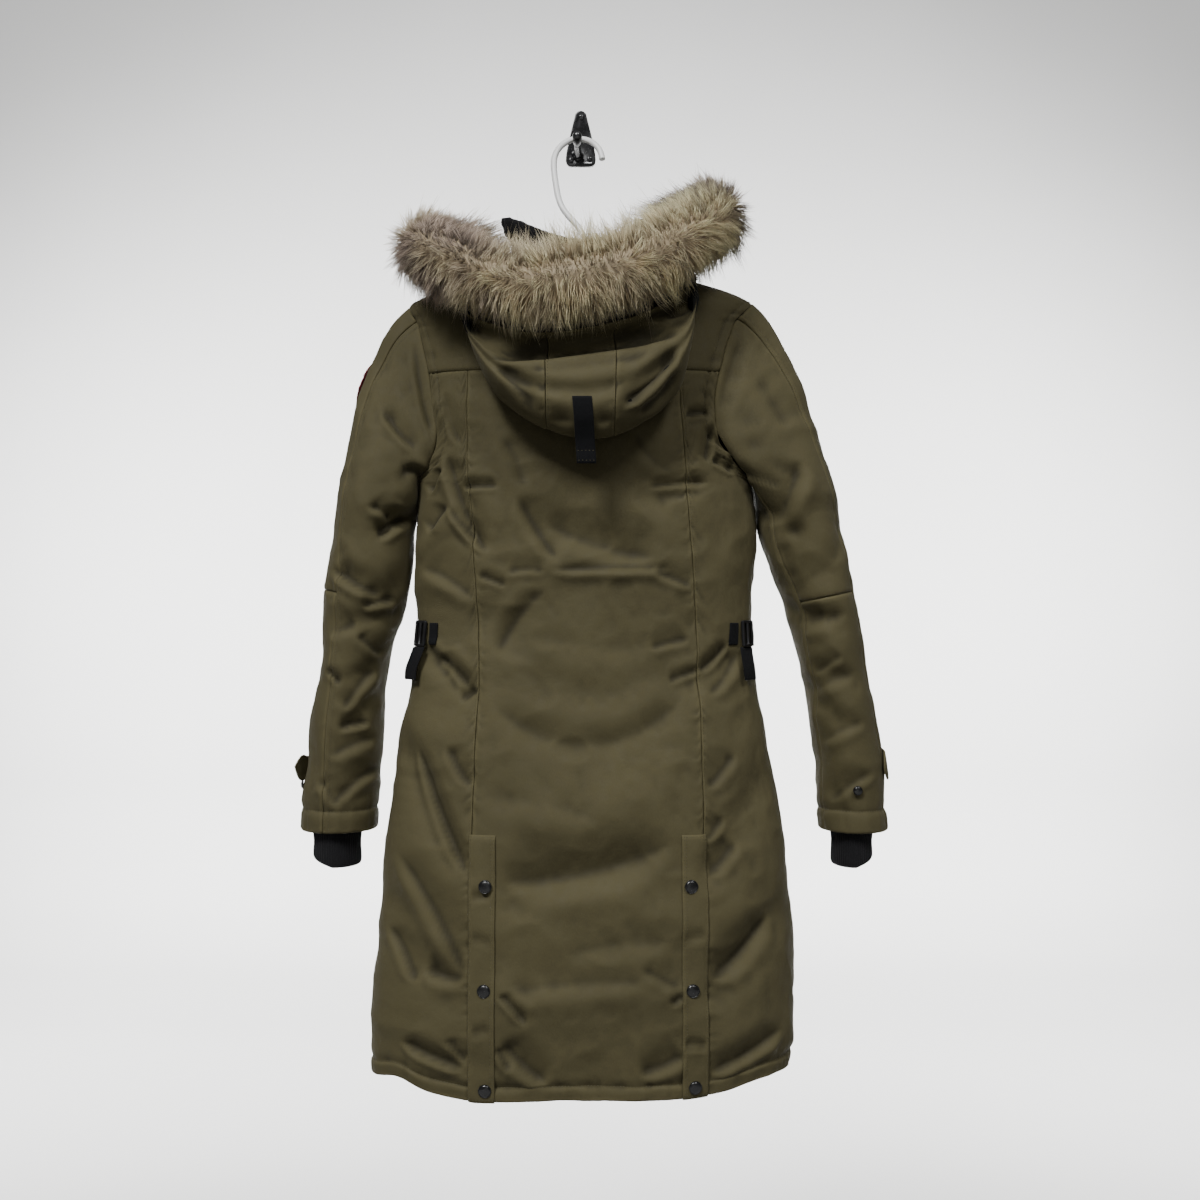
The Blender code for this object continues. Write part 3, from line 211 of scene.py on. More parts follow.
SLEEVE_RIGHT = Table(
    "z x half_width y half_depth",
    (-878, 334.5, 41.5, -108, 48),
    (-820, 330.0, 40.5, -109, 49),
    (-771, 323.5, 39.5, -110, 51),
    (-722, 316.5, 37.5, -111, 53),
    (-673, 308.0, 37.5, -112, 55),
    (-624, 297.0, 40.5, -112, 57),
    (-590, 290.0, 41.0, -112, 59),
    (-545, 277.5, 45.5, -111, 62),
    (-505, 266.5, 48.0, -110, 63),
    (-480, 259.5, 49.0, -110, 63),
)
SLEEVE_SEAMS = Table(
    "down left_first left_last right_first right_last",
    (0.0, -60, 40, 40, 140),
    (0.5, -58, 42, 38, 141),
    (1.0, -54, 46, 34, 142),
    (1.3, -48, 56, 31, 141),
    (1.65, -40, 68, 29, 150),
    (2.0, -34, 76, 28, 158),
)
SLEEVE_FOLDS = (
    # turn0, z0, turn1, z1, width, height
    (100, -520, 175, -500, 15, -5.0),
    (60, -560, 150, -590, 14, -4.5),
    (70, -628, 165, -612, 14, -5.5),
    (60, -700, 140, -680, 13, -4.0),
    (100, -742, 170, -700, 16, -4.5),
)
RUFF = Table(
    "s x y z radius",
    (0, -118, -48, -153, 36),
    (1, -166, -74, -156, 42),
    (2, -187, -126, -172, 45),
    (3, -160, -186, -197, 46),
    (4, -103, -229, -232, 46),
    (5, -48, -251, -249, 47),
    (6, 6, -257, -244, 47),
    (7, 59, -247, -227, 48),
    (8, 111, -217, -191, 49),
    (9, 152, -162, -152, 48),
    (10, 162, -107, -126, 46),
    (11, 138, -68, -118, 42),
    (12, 99, -47, -122, 34),
)
HOOD = Table(
    "s bottom belly pouch neck_turn",
    (0.5, -180, -60, 0.0, -128),
    (1.5, -200, -90, 0.0, -112),
    (2.5, -240, -160, 0.0, -92),
    (3.2, -290, -205, 0.3, -74),
    (3.65, -318, -224, 0.8, -62),
    (4.1, -346, -240, 1.0, -50),
    (4.7, -386, -254, 1.0, -32),
    (5.4, -411, -263, 1.0, -14),
    (6.0, -417, -265, 1.0, 0),
    (6.7, -408, -262, 1.0, 16),
    (7.4, -378, -252, 1.0, 34),
    (8.1, -330, -234, 1.0, 52),
    (8.55, -296, -216, 0.8, 64),
    (9.0, -262, -196, 0.35, 76),
    (9.6, -215, -160, 0.0, 92),
    (10.5, -180, -90, 0.0, 112),
    (11.5, -170, -60, 0.0, 128),
)
HOOD_SEAMS = {"left": (0.5, 5.2), "center": (5.2, 6.45), "right": (6.45, 11.5)}
COLLAR = Table(
    "turn height",
    (-176, 50),
    (-120, 52),
    (-80, 52),
    (-40, 42),
    (0, 36),
    (40, 42),
    (80, 52),
    (120, 52),
    (176, 50),
)
CUFF_TABS = {
    "left": Table(
        "turn z lift half_height",
        (-74, -811, 0.0, 14.0),
        (-54, -811, 0.0, 14.0),
        (-34, -811, 0.0, 14.0),
        (-17, -811, 3.5, 14.0),
        (-7, -810, 8.0, 13.0),
        (-1, -809, 12.5, 3.0),
    ),
    "right": Table(
        "turn z lift half_height",
        (-72, -802, 0.0, 15.0),
        (-46, -802, 0.0, 15.0),
        (-20, -802, 0.5, 15.0),
        (4, -803, 1.5, 15.0),
        (28, -806, 3.5, 14.0),
        (36, -808, 4.0, 9.0),
    ),
}


# ---- The coat's own surfaces, as in the solids ----


def signed_power(value, exponent):
    """A power that keeps its value's sign."""
    return np.sign(value) * np.abs(value) ** exponent


def unit(vectors):
    return vectors / np.maximum(np.linalg.norm(vectors, axis=-1, keepdims=True), 1e-9)


def near_line(a, b, line):
    """A soft ridge of height 1 along a line's middle part, which fades out across its width."""
    a0, b0, a1, b1, width = line
    along = np.array([a1 - a0, b1 - b0], float)
    share = ((a - a0) * along[0] + (b - b0) * along[1]) / (along @ along)
    held = np.clip(share, 0.12, 0.88)
    off = np.hypot(a - a0 - held * along[0], b - b0 - held * along[1])
    return np.exp(-((off / width) ** 2))


def body_shape(turn, z):
    """The body's plain oval form. turn is in degrees from the centre back, + to the wearer's right."""
    left, right, front, back, square, front_drop, back_drop = (
        BODY.read(name, z)
        for name in "left right front back square front_drop back_drop".split()
    )
    side, rear = np.sin(np.radians(turn)), np.cos(np.radians(turn))
    x = (left + right) / 2 + (right - left) / 2 * signed_power(side, 2 / square)
    y = (front + back) / 2 - (front - back) / 2 * signed_power(rear, 2 / square)
    drop = np.where(rear < 0, front_drop, back_drop) * rear**2
    lift = HEM_WAVE.read("lift", turn) * np.clip((HEM_LEVEL + 110 - z) / 110, 0, 1) ** 2
    return np.stack([x, y, z - drop + lift], -1)


def turn_at(x, z):
    """The turn round the body at which its surface has an x, on the back."""
    left, right, square = (BODY.read(name, z) for name in ("left", "right", "square"))
    share = np.clip((x - (left + right) / 2) / ((right - left) / 2), -1, 1)
    return np.degrees(np.arcsin(signed_power(share, square / 2)))


def outward(shape, u, v, step_u, step_v):
    """The unit normal of a surface, from steps to both sides."""
    across = shape(u + step_u, v) - shape(u - step_u, v)
    along = shape(u, v + step_v) - shape(u, v - step_v)
    return unit(np.cross(across, along))


def body(turn, z, out=0.0):
    """The body's surface with its large folds, at a height out of it."""
    turn, z = np.broadcast_arrays(np.asarray(turn, float), np.asarray(z, float))
    point = body_shape(turn, z)
    normal = outward(body_shape, turn, z, 1.0, 3.0)
    facing = np.clip(-normal[..., 1] * 1.6, 0, 1)
    below_yoke = np.clip((-330 - z) / 60, 0, 1)
    relief = sum(fold[5] * near_line(point[..., 0], point[..., 2], fold[:5]) for fold in LARGE_FOLDS)
    out = relief * facing * below_yoke + out
    return point + normal * out[..., None]


def armhole_reach(side, turn):
    """How far the armhole reaches from the side onto the back, in degrees. The front counts under 0."""
    turn = (np.asarray(turn, float) + 180) % 360 - 180
    back = ARMHOLE.read("back_right" if side > 0 else "back_left", np.abs(turn))
    return np.where(turn > 0, back, -ARMHOLE.read("front", np.abs(turn)))


def armhole(side, turn):
    """The armhole's edge on the body. turn runs from 0 on the shoulder over the back."""
    z = ARM_MIDDLE + ARM_HALF * np.cos(np.radians(turn))
    return body(side * (90 - armhole_reach(side, turn)), z)


def sleeve_ring(side, turn, z):
    """The sleeve below the upper arm: an oval that leans as the arm does."""
    table = SLEEVE_RIGHT if side > 0 else SLEEVE_LEFT
    lean = side * (table.read("x", z - 4) - table.read("x", z + 4)) / 8
    out, rear = np.cos(np.radians(turn)), np.sin(np.radians(turn))
    reach = table.read("half_width", z) * out
    x = table.read("x", z) + side * reach
    y = table.read("y", z) - table.read("half_depth", z) * rear
    settle = np.clip((z - SLEEVE_HEM) / 60, 0, 1)
    return np.stack([x, y, z + lean * reach * settle], -1)


def sleeve_shape(side, turn, down):
    """down runs from 0 at the armhole to 1 at the upper arm, and on to 2 at the cuff."""
    cap = np.clip(down, 0, 1)[..., None]
    z = UPPER_ARM + (SLEEVE_HEM - UPPER_ARM) * np.clip(down - 1, 0, 1)
    turn = np.asarray(turn, float)
    up = np.cos(np.radians(turn))
    dip = np.radians(22 + 15 * np.maximum(up, 0) ** 2 + 46 * np.maximum(-up, 0) ** 2)[..., None]
    edge = armhole(side, turn)
    square = unit((edge - np.array([4.0, -107.0, 0])) * np.array([1, 1, 0]))
    under = 0.7 * np.maximum(-up, 0)[..., None]
    outwards = unit(square * under + np.array([side, 0, 0]) * (1 - under))
    leave = outwards * np.cos(dip) - np.array([0, 0, 1.0]) * np.sin(dip)
    start = edge + leave * SEAM_GAP
    ring = sleeve_ring(side, turn, z)
    first = sleeve_ring(side, turn, np.full_like(z, UPPER_ARM))
    arrive = unit(sleeve_ring(side, turn, np.full_like(z, UPPER_ARM - 8)) - first)
    reach = np.linalg.norm(first - start, axis=-1, keepdims=True)
    lofted = (
        (1 + 2 * cap) * (1 - cap) ** 2 * start
        + cap**2 * (3 - 2 * cap) * first
        + reach * (0.74 * cap * (1 - cap) ** 2 * leave - cap**2 * (1 - cap) * arrive)
    )
    return np.where((down > 1)[..., None], ring, lofted)


def sleeve(side, turn, down, out=0.0):
    """The sleeve's surface with its folds, at a height out of it."""
    turn, down = np.broadcast_arrays(np.asarray(turn, float), np.asarray(down, float))

    def shape(t, d):
        return sleeve_shape(side, t, np.clip(d, 0, 2))

    point = shape(turn, down)
    normal = outward(shape, turn, down, 2.0, 0.02) * side
    relief = sum(fold[5] * near_line(turn % 360, point[..., 2], fold[:5]) for fold in SLEEVE_FOLDS)
    away = np.clip(down * 3 - 0.6, 0, 1)
    return point + normal * (relief * away + out)[..., None]


def sleeve_station(z):
    """The sleeve's down at a z below the upper arm."""
    return 1 + (z - UPPER_ARM) / (SLEEVE_HEM - UPPER_ARM)


def ruff_frame(s):
    """Middle point, and the unit vectors along the ruff and square to it: inward-level and down."""
    middle = RUFF.point(s)
    along = unit(RUFF.point(s + 0.05) - RUFF.point(s - 0.05))
    down = unit(np.array([0, 0, -1.0]) + along * along[..., 2:3])
    inward = np.cross(along, down)
    return middle, along, inward, down


def body_clearance(point):
    """How far points are off the body's plain form."""
    x, y, z = point[..., 0], point[..., 1], point[..., 2]
    for _ in range(2):
        level = np.clip(z, HEM_LEVEL, NECK_LEVEL)
        left, right, front, back, square = (
            BODY.read(name, level) for name in "left right front back square".split()
        )
        u = np.abs(x - (left + right) / 2) / ((right - left) / 2)
        v = np.abs(y - (front + back) / 2) / ((front - back) / 2)
        drop = BODY.read("back_drop", level) * np.clip(v, 0, 1) ** square
        z = point[..., 2] + drop
    return ((u**square + v**square) ** (1 / square) - 1) * (front - back) / 2


def off_the_body(point, least):
    """The points, moved out where they are nearer to the body than a least distance."""
    for _ in range(6):
        held = body_clearance(point)
        steps = [body_clearance(point + step) - held for step in np.eye(3) * 0.5]
        slope = np.stack(steps, -1) / 0.5
        size = np.linalg.norm(slope, axis=-1)
        short = np.clip(least - held / np.maximum(size, 0.3), 0, 12)
        point = point + slope / np.maximum(size, 1e-6)[..., None] * short[..., None]
    return point


def off_the_ruff(point, least):
    """The points, moved out where they are nearer to the ruff than a least distance."""
    stations = np.linspace(0, RUFF_END, 97)
    middle, radius = RUFF.point(stations), RUFF.read("radius", stations)
    for _ in range(3):
        away = point[..., None, :] - middle
        length = np.linalg.norm(away, axis=-1)
        short = radius + least - length
        worst = np.argmax(short, -1)[..., None]
        by = np.clip(np.take_along_axis(short, worst, -1), 0, None)
        away = np.take_along_axis(away / length[..., None], worst[..., None], -2)[..., 0, :]
        point = point + away * by
    return point


def hood_shape(s, q):
    """The hood between the ruff, q = 0, and the neck seam, q = 1. It hangs down between them."""
    middle, _, inward, down = ruff_frame(s)
    pouch = HOOD.read("pouch", s)[..., None]
    below = unit(down * (0.25 + pouch) + inward * (1.0 - 0.9 * pouch))
    brim = middle + below * (RUFF.read("radius", s) + 6.0)[..., None]
    neck_turn = HOOD.read("neck_turn", s)
    neck = body(neck_turn, np.full_like(neck_turn, NECK_LEVEL), 4.0) + np.array([0, 0, 0.6])
    bottom, belly = HOOD.read("bottom", s), HOOD.read("belly", s)

    def across(share):
        return brim[..., 0] * (1 - share) + neck[..., 0] * share

    def column(share, y, z):
        return np.stack([across(share), y, z], -1)

    def on_back(share, z, out):
        return body(turn_at(across(share), z), z, out)

    drop = brim[..., 2] - bottom
    stations = [
        brim,
        column(0.01, brim[..., 1] + 9, brim[..., 2] - 0.16 * drop),
        column(0.04, belly, brim[..., 2] - 0.52 * drop),
        column(0.08, belly + 10, brim[..., 2] - 0.84 * drop),
        column(0.12, belly + 36, bottom),
        on_back(0.18, bottom + 0.16 * drop, 9.0),
        on_back(0.35, np.minimum(bottom + 0.62 * drop, -246.0), 9.0),
        on_back(0.72, np.full_like(bottom, -222.0), 8.0),
        neck,
    ]
    last = len(stations) - 1
    points = []
    for station, share in zip(stations, np.linspace(0, 1, last + 1)):
        strip = brim * (1 - share) + neck * share
        strip = strip + np.array([0, 0, 1.0]) * (5 * np.sin(pi * share))
        points.append(strip * (1 - pouch) + station * pouch)
    points = np.array(points)
    at = np.clip(q, 0, 1) * last
    i = np.clip(at.astype(int), 0, last - 1)
    f = (at - i)[..., None]
    grid = np.indices(i.shape)
    a, b, c, d = (points[(np.clip(i + k, 0, last),) + tuple(grid)] for k in (-1, 0, 1, 2))
    point = 0.5 * (
        2 * b + (c - a) * f + (2 * a - 5 * b + 4 * c - d) * f**2 + (3 * b - a - 3 * c + d) * f**3
    )
    crease = np.exp(-(((q - HOOD_CREASE) / 0.035) ** 2)) * pouch[..., 0]
    point = point + np.array([0, 1.0, 0]) * (7 * crease)[..., None]
    least = 8.5 - 5.2 * np.clip((q - 0.9) * 10, 0, 1)
    return off_the_body(off_the_ruff(point, 7.0), least)


def hood(s, q, out=0.0):
    """The hood's surface at a height out of it."""
    s, q = np.broadcast_arrays(np.asarray(s, float), np.asarray(q, float))
    point = hood_shape(s, q)
    normal = outward(hood_shape, s, q, 0.05, 0.02)
    return point - normal * np.asarray(out)[..., None]


def collar(turn, rise, out=0.0):
    """The collar's surface. rise runs from 0 at the neck seam to 1 at the top edge."""
    turn, rise = np.broadcast_arrays(np.asarray(turn, float), np.asarray(rise, float))
    seam = body_shape(turn, np.full_like(turn, NECK_LEVEL))
    middle = np.array([3.5, -86.5, 0])
    outwards = (seam - middle) * np.array([1, 1, 0])
    height = COLLAR.read("height", turn)
    flare = np.exp(-(((turn + 92) / 38.0) ** 2)) * 0.22
    lean = 1 + (flare - 0.05)[..., None] * rise[..., None] ** 1.5
    point = middle + outwards * lean + np.array([0, 0, 1.0]) * seam[..., 2:3]
    out = np.asarray(out, float)
    point = point + unit(outwards) * (out - 0.6)[..., None]
    return point + np.array([0, 0, 1.0]) * (1.2 + rise * height)[..., None]


def half_gap(z, gap=SEAM_GAP):
    """Half a seam's gap, in degrees round the body."""
    return np.degrees(gap * 2.2 / (BODY.read("right", z) - BODY.read("left", z)))


def seam_turn(side, z):
    """The turn of a princess seam."""
    return turn_at(BODY.read("seam_right" if side > 0 else "seam_left", z), z)


def side_turn(side, z, rear):
    """The outer edge of a panel: the side seam, and the armhole's edge above it."""
    round_arm = np.degrees(np.arccos(np.clip((z - ARM_MIDDLE) / ARM_HALF, -1, 1)))
    reach = armhole_reach(side, round_arm if rear else -round_arm)
    seam = SIDE_SEAM.read("turn", z)
    edge = np.where(z < UNDERARM - 0.5, seam, 90 - reach)
    return side * np.where(z > SHOULDER_POINT + 0.5, 90, edge)


# ---- Soft noise, seeded so that each run is the same ----


def hashed(*keys):
    """A number from 0 to 1 for each set of whole keys."""
    value = np.zeros(np.broadcast(*keys).shape)
    for key, factor in zip(keys, (12.9898, 78.233, 37.719, 9.151)):
        value = value + np.asarray(key, float) * factor
    return (np.sin(value) * 43758.5453) % 1.0


def noise(at, seed):
    """Smooth noise from -1 to 1 along a line."""
    i = np.floor(at)
    f = at - i
    f = f * f * (3 - 2 * f)
    return (hashed(i, seed) * (1 - f) + hashed(i + 1, seed) * f) * 2 - 1


def noise_2d(x, y, seed):
    """Smooth noise from -1 to 1 over a plane."""
    i, j = np.floor(x), np.floor(y)
    f, g = x - i, y - j
    f, g = f * f * (3 - 2 * f), g * g * (3 - 2 * g)
    low = hashed(i, j, seed) * (1 - f) + hashed(i + 1, j, seed) * f
    high = hashed(i, j + 1, seed) * (1 - f) + hashed(i + 1, j + 1, seed) * f
    return (low * (1 - g) + high * g) * 2 - 1


# ---- Creases and seams, as heights above the plain surface ----


def crease(a, b, line):
    """A trough (height under 0) along a bowed line. It is easy above it and steep below, with soft
    lips on both sides. A negative width turns it over."""
    a0, b0, a1, b1, bow, width, height = line
    chord = np.array([a1 - a0, b1 - b0], float)
    length = np.hypot(*chord)
    along = ((a - a0) * chord[0] + (b - b0) * chord[1]) / length**2
    held = np.clip(along, 0, 1)
    off = ((b - b0) * chord[0] - (a - a0) * chord[1]) / length - bow * 4 * held * (1 - held)
    taper = np.clip(held * (1 - held) * 5.5, 0, 1)
    taper = taper * taper * (3 - 2 * taper)
    easy = off / (width * (0.55 + 0.45 * taper))
    reach = np.maximum(1.1 + 0.55 * np.tanh(easy * 2), 3.4 / abs(width))
    soft = max(0.22, 1.9 / abs(width))
    trough = np.exp((soft - np.sqrt(easy**2 + soft**2)) / reach)
    lips = 0.45 * np.exp(-(((easy + 1.3) / 0.8) ** 2)) + 0.3 * np.exp(-(((easy - 3.2) / 1.7) ** 2))
    return height * taper * (trough - lips)


def creased(point, facing, table):
    """The height of all the creases of a table, which read x and z, where the cloth faces that way."""
    total = sum(crease(point[..., 0], point[..., 2], line) for line in table)
    return total * np.clip(facing * 1.7 + 0.3, 0, 1)


# Creases of the coat's back, from left to right: x0, z0, x1, z1, bow upwards, width, height
BACK_CREASES = (
    (-36, -565, 111, -562, 2, 7, -1.7),
    (-84, -567, -38, -566, 2, 5, -0.9),
    (-70, -478, -22, -554, -3, 10, -1.8),
    (-40, -507, 94, -549, -8, 16, -2.2),
    (86, -566, 134, -586, 2, 6, -1.5),
    (-138, -468, -93, -467, 1, 4, -1.7),
    (79, -468, 155, -462, 2, 5, -1.7),
    (-96, -664, -37, -586, 6, -14, -2.0),
    (-118, -571, -84, -584, 1, 4, -1.4),
    (-155, -424, -112, -538, -5, 8, -2.8),
    (-150, -490, -106, -544, -3, 5, -2.0),
    (-177, -473, -161, -444, 1, 4, -2.2),
    (-177, -520, -155, -488, 2, 6, -2.0),
    (-186, -560, -120, -600, 5, 10, -1.5),
    (-168, -664, -128, -703, 3, 5, -2.4),
    (-136, -717, -118, -703, 1, 4, -1.8),
    (-185, -650, -150, -690, 0, -8, -1.6),
    (104, -694, 144, -681, 1, 4, -1.5),
    (140, -684, 176, -650, -2, 5, -1.8),
    (82, -656, 131, -645, 2, 6, -1.3),
    (150, -712, 190, -660, -3, 8, -1.5),
    (-102, -722, 128, -710, -50, -24, -2.6),
    (-90, -918, 111, -873, -13, 20, -3.2),
    (-89, -1044, 84, -1029, 6, 14, -1.3),
    (-90, -1044, -58, -1078, 2, 4, -2.2),
    (-86, -1096, -32, -1146, -4, 10, -2.8),
    (-92, -1104, -77, -1132, 0, 4, -1.8),
    (68, -1134, 122, -1112, -3, 9, -2.2),
    (106, -1058, 120, -1046, 0, 4, -1.6),
    (70, -1014, 118, -1042, 2, 8, -1.0),
    (146, -876, 168, -848, -1, 6, -1.3),
    (148, -915, 184, -877, -2, 8, -1.5),
    (146, -817, 181, -776, -2, 8, -1.5),
    (149, -1034, 222, -962, -6, 12, -3.0),
    (145, -1137, 238, -1095, -4, 8, -2.4),
    (-191, -768, -125, -917, -4, 6, -2.3),
    (-151, -768, -123, -815, -2, 7, -1.7),
    (-211, -892, -126, -1030, 6, 12, -2.2),
    (-178, -1022, -127, -1028, -3, 10, -2.2),
    (-224, -978, -186, -1040, 3, 7, -1.7),
    (-204, -1105, -127, -1131, -3, 6, -2.6),
    (-150, -1098, -127, -1124, 1, 5, -1.6),
    (-122, -940, -97, -936, 1, 4, -1.2),
    (-122, -985, -97, -990, 1, 4, -0.8),
    (-120, -1090, -97, -1085, 0, 4, -1.2),
    (119, -1103, 146, -1105, 1, 4, -1.5),
    (119, -985, 146, -981, 0, 5, -0.9),
    (-158, -352, -138, -420, -3, 6, -1.4),
    (125, -383, 153, -380, 1, 4, -2.2),
    (150, -440, 160, -392, 2, 5, -2.0),
    (152, -405, 179, -426, 1, 5, -1.8),
    (156, -434, 186, -449, 1, 5, -1.8),
    (-90, -408, -64, -470, 5, 10, -1.0),
    (64, -400, 110, -452, -6, 10, -1.0),
    (-110, -822, 30, -850, 6, 20, -1.2),
    (-20, -1000, 110, -985, 5, 18, -1.2),
    (-60, -640, 96, -652, -5, 22, -1.0),
)
# Like creases on the fronts, which don't show from behind
FRONT_CREASES = (
    (60, -430, 150, -520, 8, 15, -1.5),
    (-150, -520, -60, -440, 8, 15, -1.4),
    (30, -596, 150, -640, 6, 14, -1.5),
    (-150, -630, -34, -606, 6, 14, -1.3),
    (40, -690, 120, -800, 8, 17, -1.4),
    (-130, -790, -40, -700, 8, 17, -1.3),
    (60, -900, 190, -980, -6, 19, -1.6),
    (-190, -960, -60, -900, -6, 19, -1.5),
    (70, -1060, 170, -1120, 5, 15, -1.4),
    (-180, -1120, -60, -1050, 5, 15, -1.3),
)
SLEEVE_CREASES = (
    # left sleeve
    (-234, -371, -190, -424, -3, 6, -1.8),
    (-199, -284, -171, -412, -3, 5, -2.4),
    (-214, -447, -180, -465, 10, -8, -2.2),
    (-247, -487, -217, -506, 2, 7, -2.0),
    (-237, -528, -194, -500, 2, 6, -3.0),
    (-297, -562, -228, -597, -2, 7, -2.6),
    (-257, -606, -216, -600, 1, 7, -2.4),
    (-301, -682, -284, -701, 1, 4, -1.6),
    (-281, -733, -243, -682, 3, 7, -1.8),
    (-286, -752, -250, -747, 1, 5, -2.2),
    (-300, -640, -262, -628, 2, 10, -1.2),
    (-298, -786, -244, -764, 3, 9, -1.4),
    (-290, -838, -240, -800, 3, 7, -1.6),
    (-262, -640, -236, -668, 1, 6, -1.6),
    (-310, -812, -284, -846, 1, 7, -1.2),
    # right sleeve
    (165, -381, 195, -281, 3, -6, -2.6),
    (182, -440, 242, -467, -3, 4, -1.0),
    (224, -514, 261, -434, -4, 14, -3.2),
    (240, -531, 256, -580, -2, 8, -0.9),
    (260, -630, 292, -616, 1, 7, -1.0),
    (278, -688, 312, -664, 1, 6, -1.1),
    (262, -640, 316, -616, 4, 9, -1.2),
    (276, -712, 330, -686, 5, 9, -1.2),
    (288, -772, 340, -744, 5, 8, -1.2),
    (300, -842, 350, -806, 6, 7, -1.3),
    (300, -560, 316, -500, -2, 10, -1.0),
    (210, -330, 250, -400, 3, 16, -1.0),
)
SLEEVE_FRONT_CREASES = (
    (-300, -560, -230, -520, 6, 10, -1.8),
    (-310, -640, -240, -612, 5, 9, -2.0),
    (-316, -720, -244, -690, 6, 10, -1.7),
    (-320, -810, -260, -780, 5, 10, -1.5),
    (-270, -420, -220, -470, 5, 12, -1.4),
    (250, -520, 320, -560, 6, 10, -1.8),
    (260, -612, 336, -640, 5, 9, -2.0),
    (280, -690, 350, -720, 6, 10, -1.7),
    (300, -780, 366, -810, 5, 10, -1.5),
    (224, -420, 274, -470, 5, 12, -1.4),
)


def padding(a, b, seed):
    """The padding's own soft unevenness."""
    broad = noise_2d(a / 62 + 3.1, b / 54 + 1.7, seed)
    fine = noise_2d(a / 21 + 7.3, b / 26 + 4.1, seed + 1)
    small = noise_2d(a / 8 + 2.3, b / 9 + 5.5, seed + 2)
    crumple = 0.5 - np.abs(noise_2d(a / 40 + b / 90 + 5.1, b / 32 - a / 120 + 8.2, seed + 3))
    return 0.9 * broad + 0.3 * fine + 0.09 * small + 0.8 * crumple


def fine_body(turn, z, out=0.0):
    """The body with its creases."""
    turn, z = np.broadcast_arrays(np.asarray(turn, float), np.asarray(z, float))
    point = body_shape(turn, z)
    rear = np.cos(np.radians(turn))
    held = np.clip((-336 - z) / 30, 0, 1)
    relief = creased(point, rear, BACK_CREASES) + creased(point, -rear, FRONT_CREASES)
    relief = (relief + padding(point[..., 0] + point[..., 1], z, 5) * 0.8) * held
    return body(turn, z, out + relief * settings().crease_depth)


def fine_sleeve(side, turn, down, out=0.0):
    """The sleeve with its creases."""
    turn, down = np.broadcast_arrays(np.asarray(turn, float), np.asarray(down, float))
    point = sleeve_shape(side, turn, down)
    rear = np.sin(np.radians(turn))
    relief = creased(point, rear, SLEEVE_CREASES) + creased(point, -rear, SLEEVE_FRONT_CREASES)
    relief = relief + padding(point[..., 0] - point[..., 1], point[..., 2], 9) * 0.9
    held = np.clip(down * 5, 0, 1) * np.clip((2.0 - down) * 14, 0.25, 1)
    return sleeve(side, turn, down, out + relief * held * settings().crease_depth)


class Seam:
    """How a panel's border is sewn: rounded in by roll, puckered to a depth, with rows of stitches.

    rows are distances in from the border, in millimetres. bulge rounds a folded edge outwards.
    """

    def __init__(
        self, roll=1.3, pucker=0.5, reach=12.0, pitch=7.0, rows=(), bulge=0.0, pinch=0.0, seed=1
    ):
        self.roll, self.pucker, self.reach, self.pitch = roll, pucker, reach, pitch
        self.rows, self.bulge, self.pinch, self.seed = rows, bulge, pinch, seed

    def height(self, off, along):
        """The surface's height at a distance off the border and along it."""
        waves = noise(along / self.pitch, self.seed) + 0.4 * noise(along / 3.1, self.seed + 9)
        furthest = max(self.rows, default=0.0)
        fade = np.exp(-((np.clip(off - furthest, 0, None) / self.reach) ** 2))
        rise = np.clip(off / 2.5, 0, 1)
        height = -self.roll * np.exp(-((off / 1.3) ** 2)) + self.pucker * waves * fade * rise
        for row in self.rows:
            height = height - 0.6 * np.exp(-(((off - row) / 1.1) ** 2))
        if self.rows:
            inside = (off > 0.5) & (off < furthest)
            height = height + np.where(inside, 0.35, 0.0)
        if self.pinch:
            wander = furthest + 1.5 * noise(along / 24, self.seed + 5)
            deep = 1.0 + 0.5 * noise(along / 17, self.seed + 6)
            drawn = (off - wander) / np.where(off > wander, 6.5, 3.0)
            height = height - self.pinch * deep * np.exp(-(drawn**2))
        return height


def spread(length, pitch):
    """Shares from 0 to 1 in steps of pitch, with closer steps at both ends where seams are."""
    close = np.array([0, 0.8, 1.7, 2.8, 4.2, 6.0, 8.4])
    close = close[close < length / 4]
    count = max(2, round((length - 2 * close[-1]) / pitch) + 1)
    middle = np.linspace(close[-1], length - close[-1], count)[1:-1]
    return np.concatenate([close, middle, (length - close)[::-1]]) / length


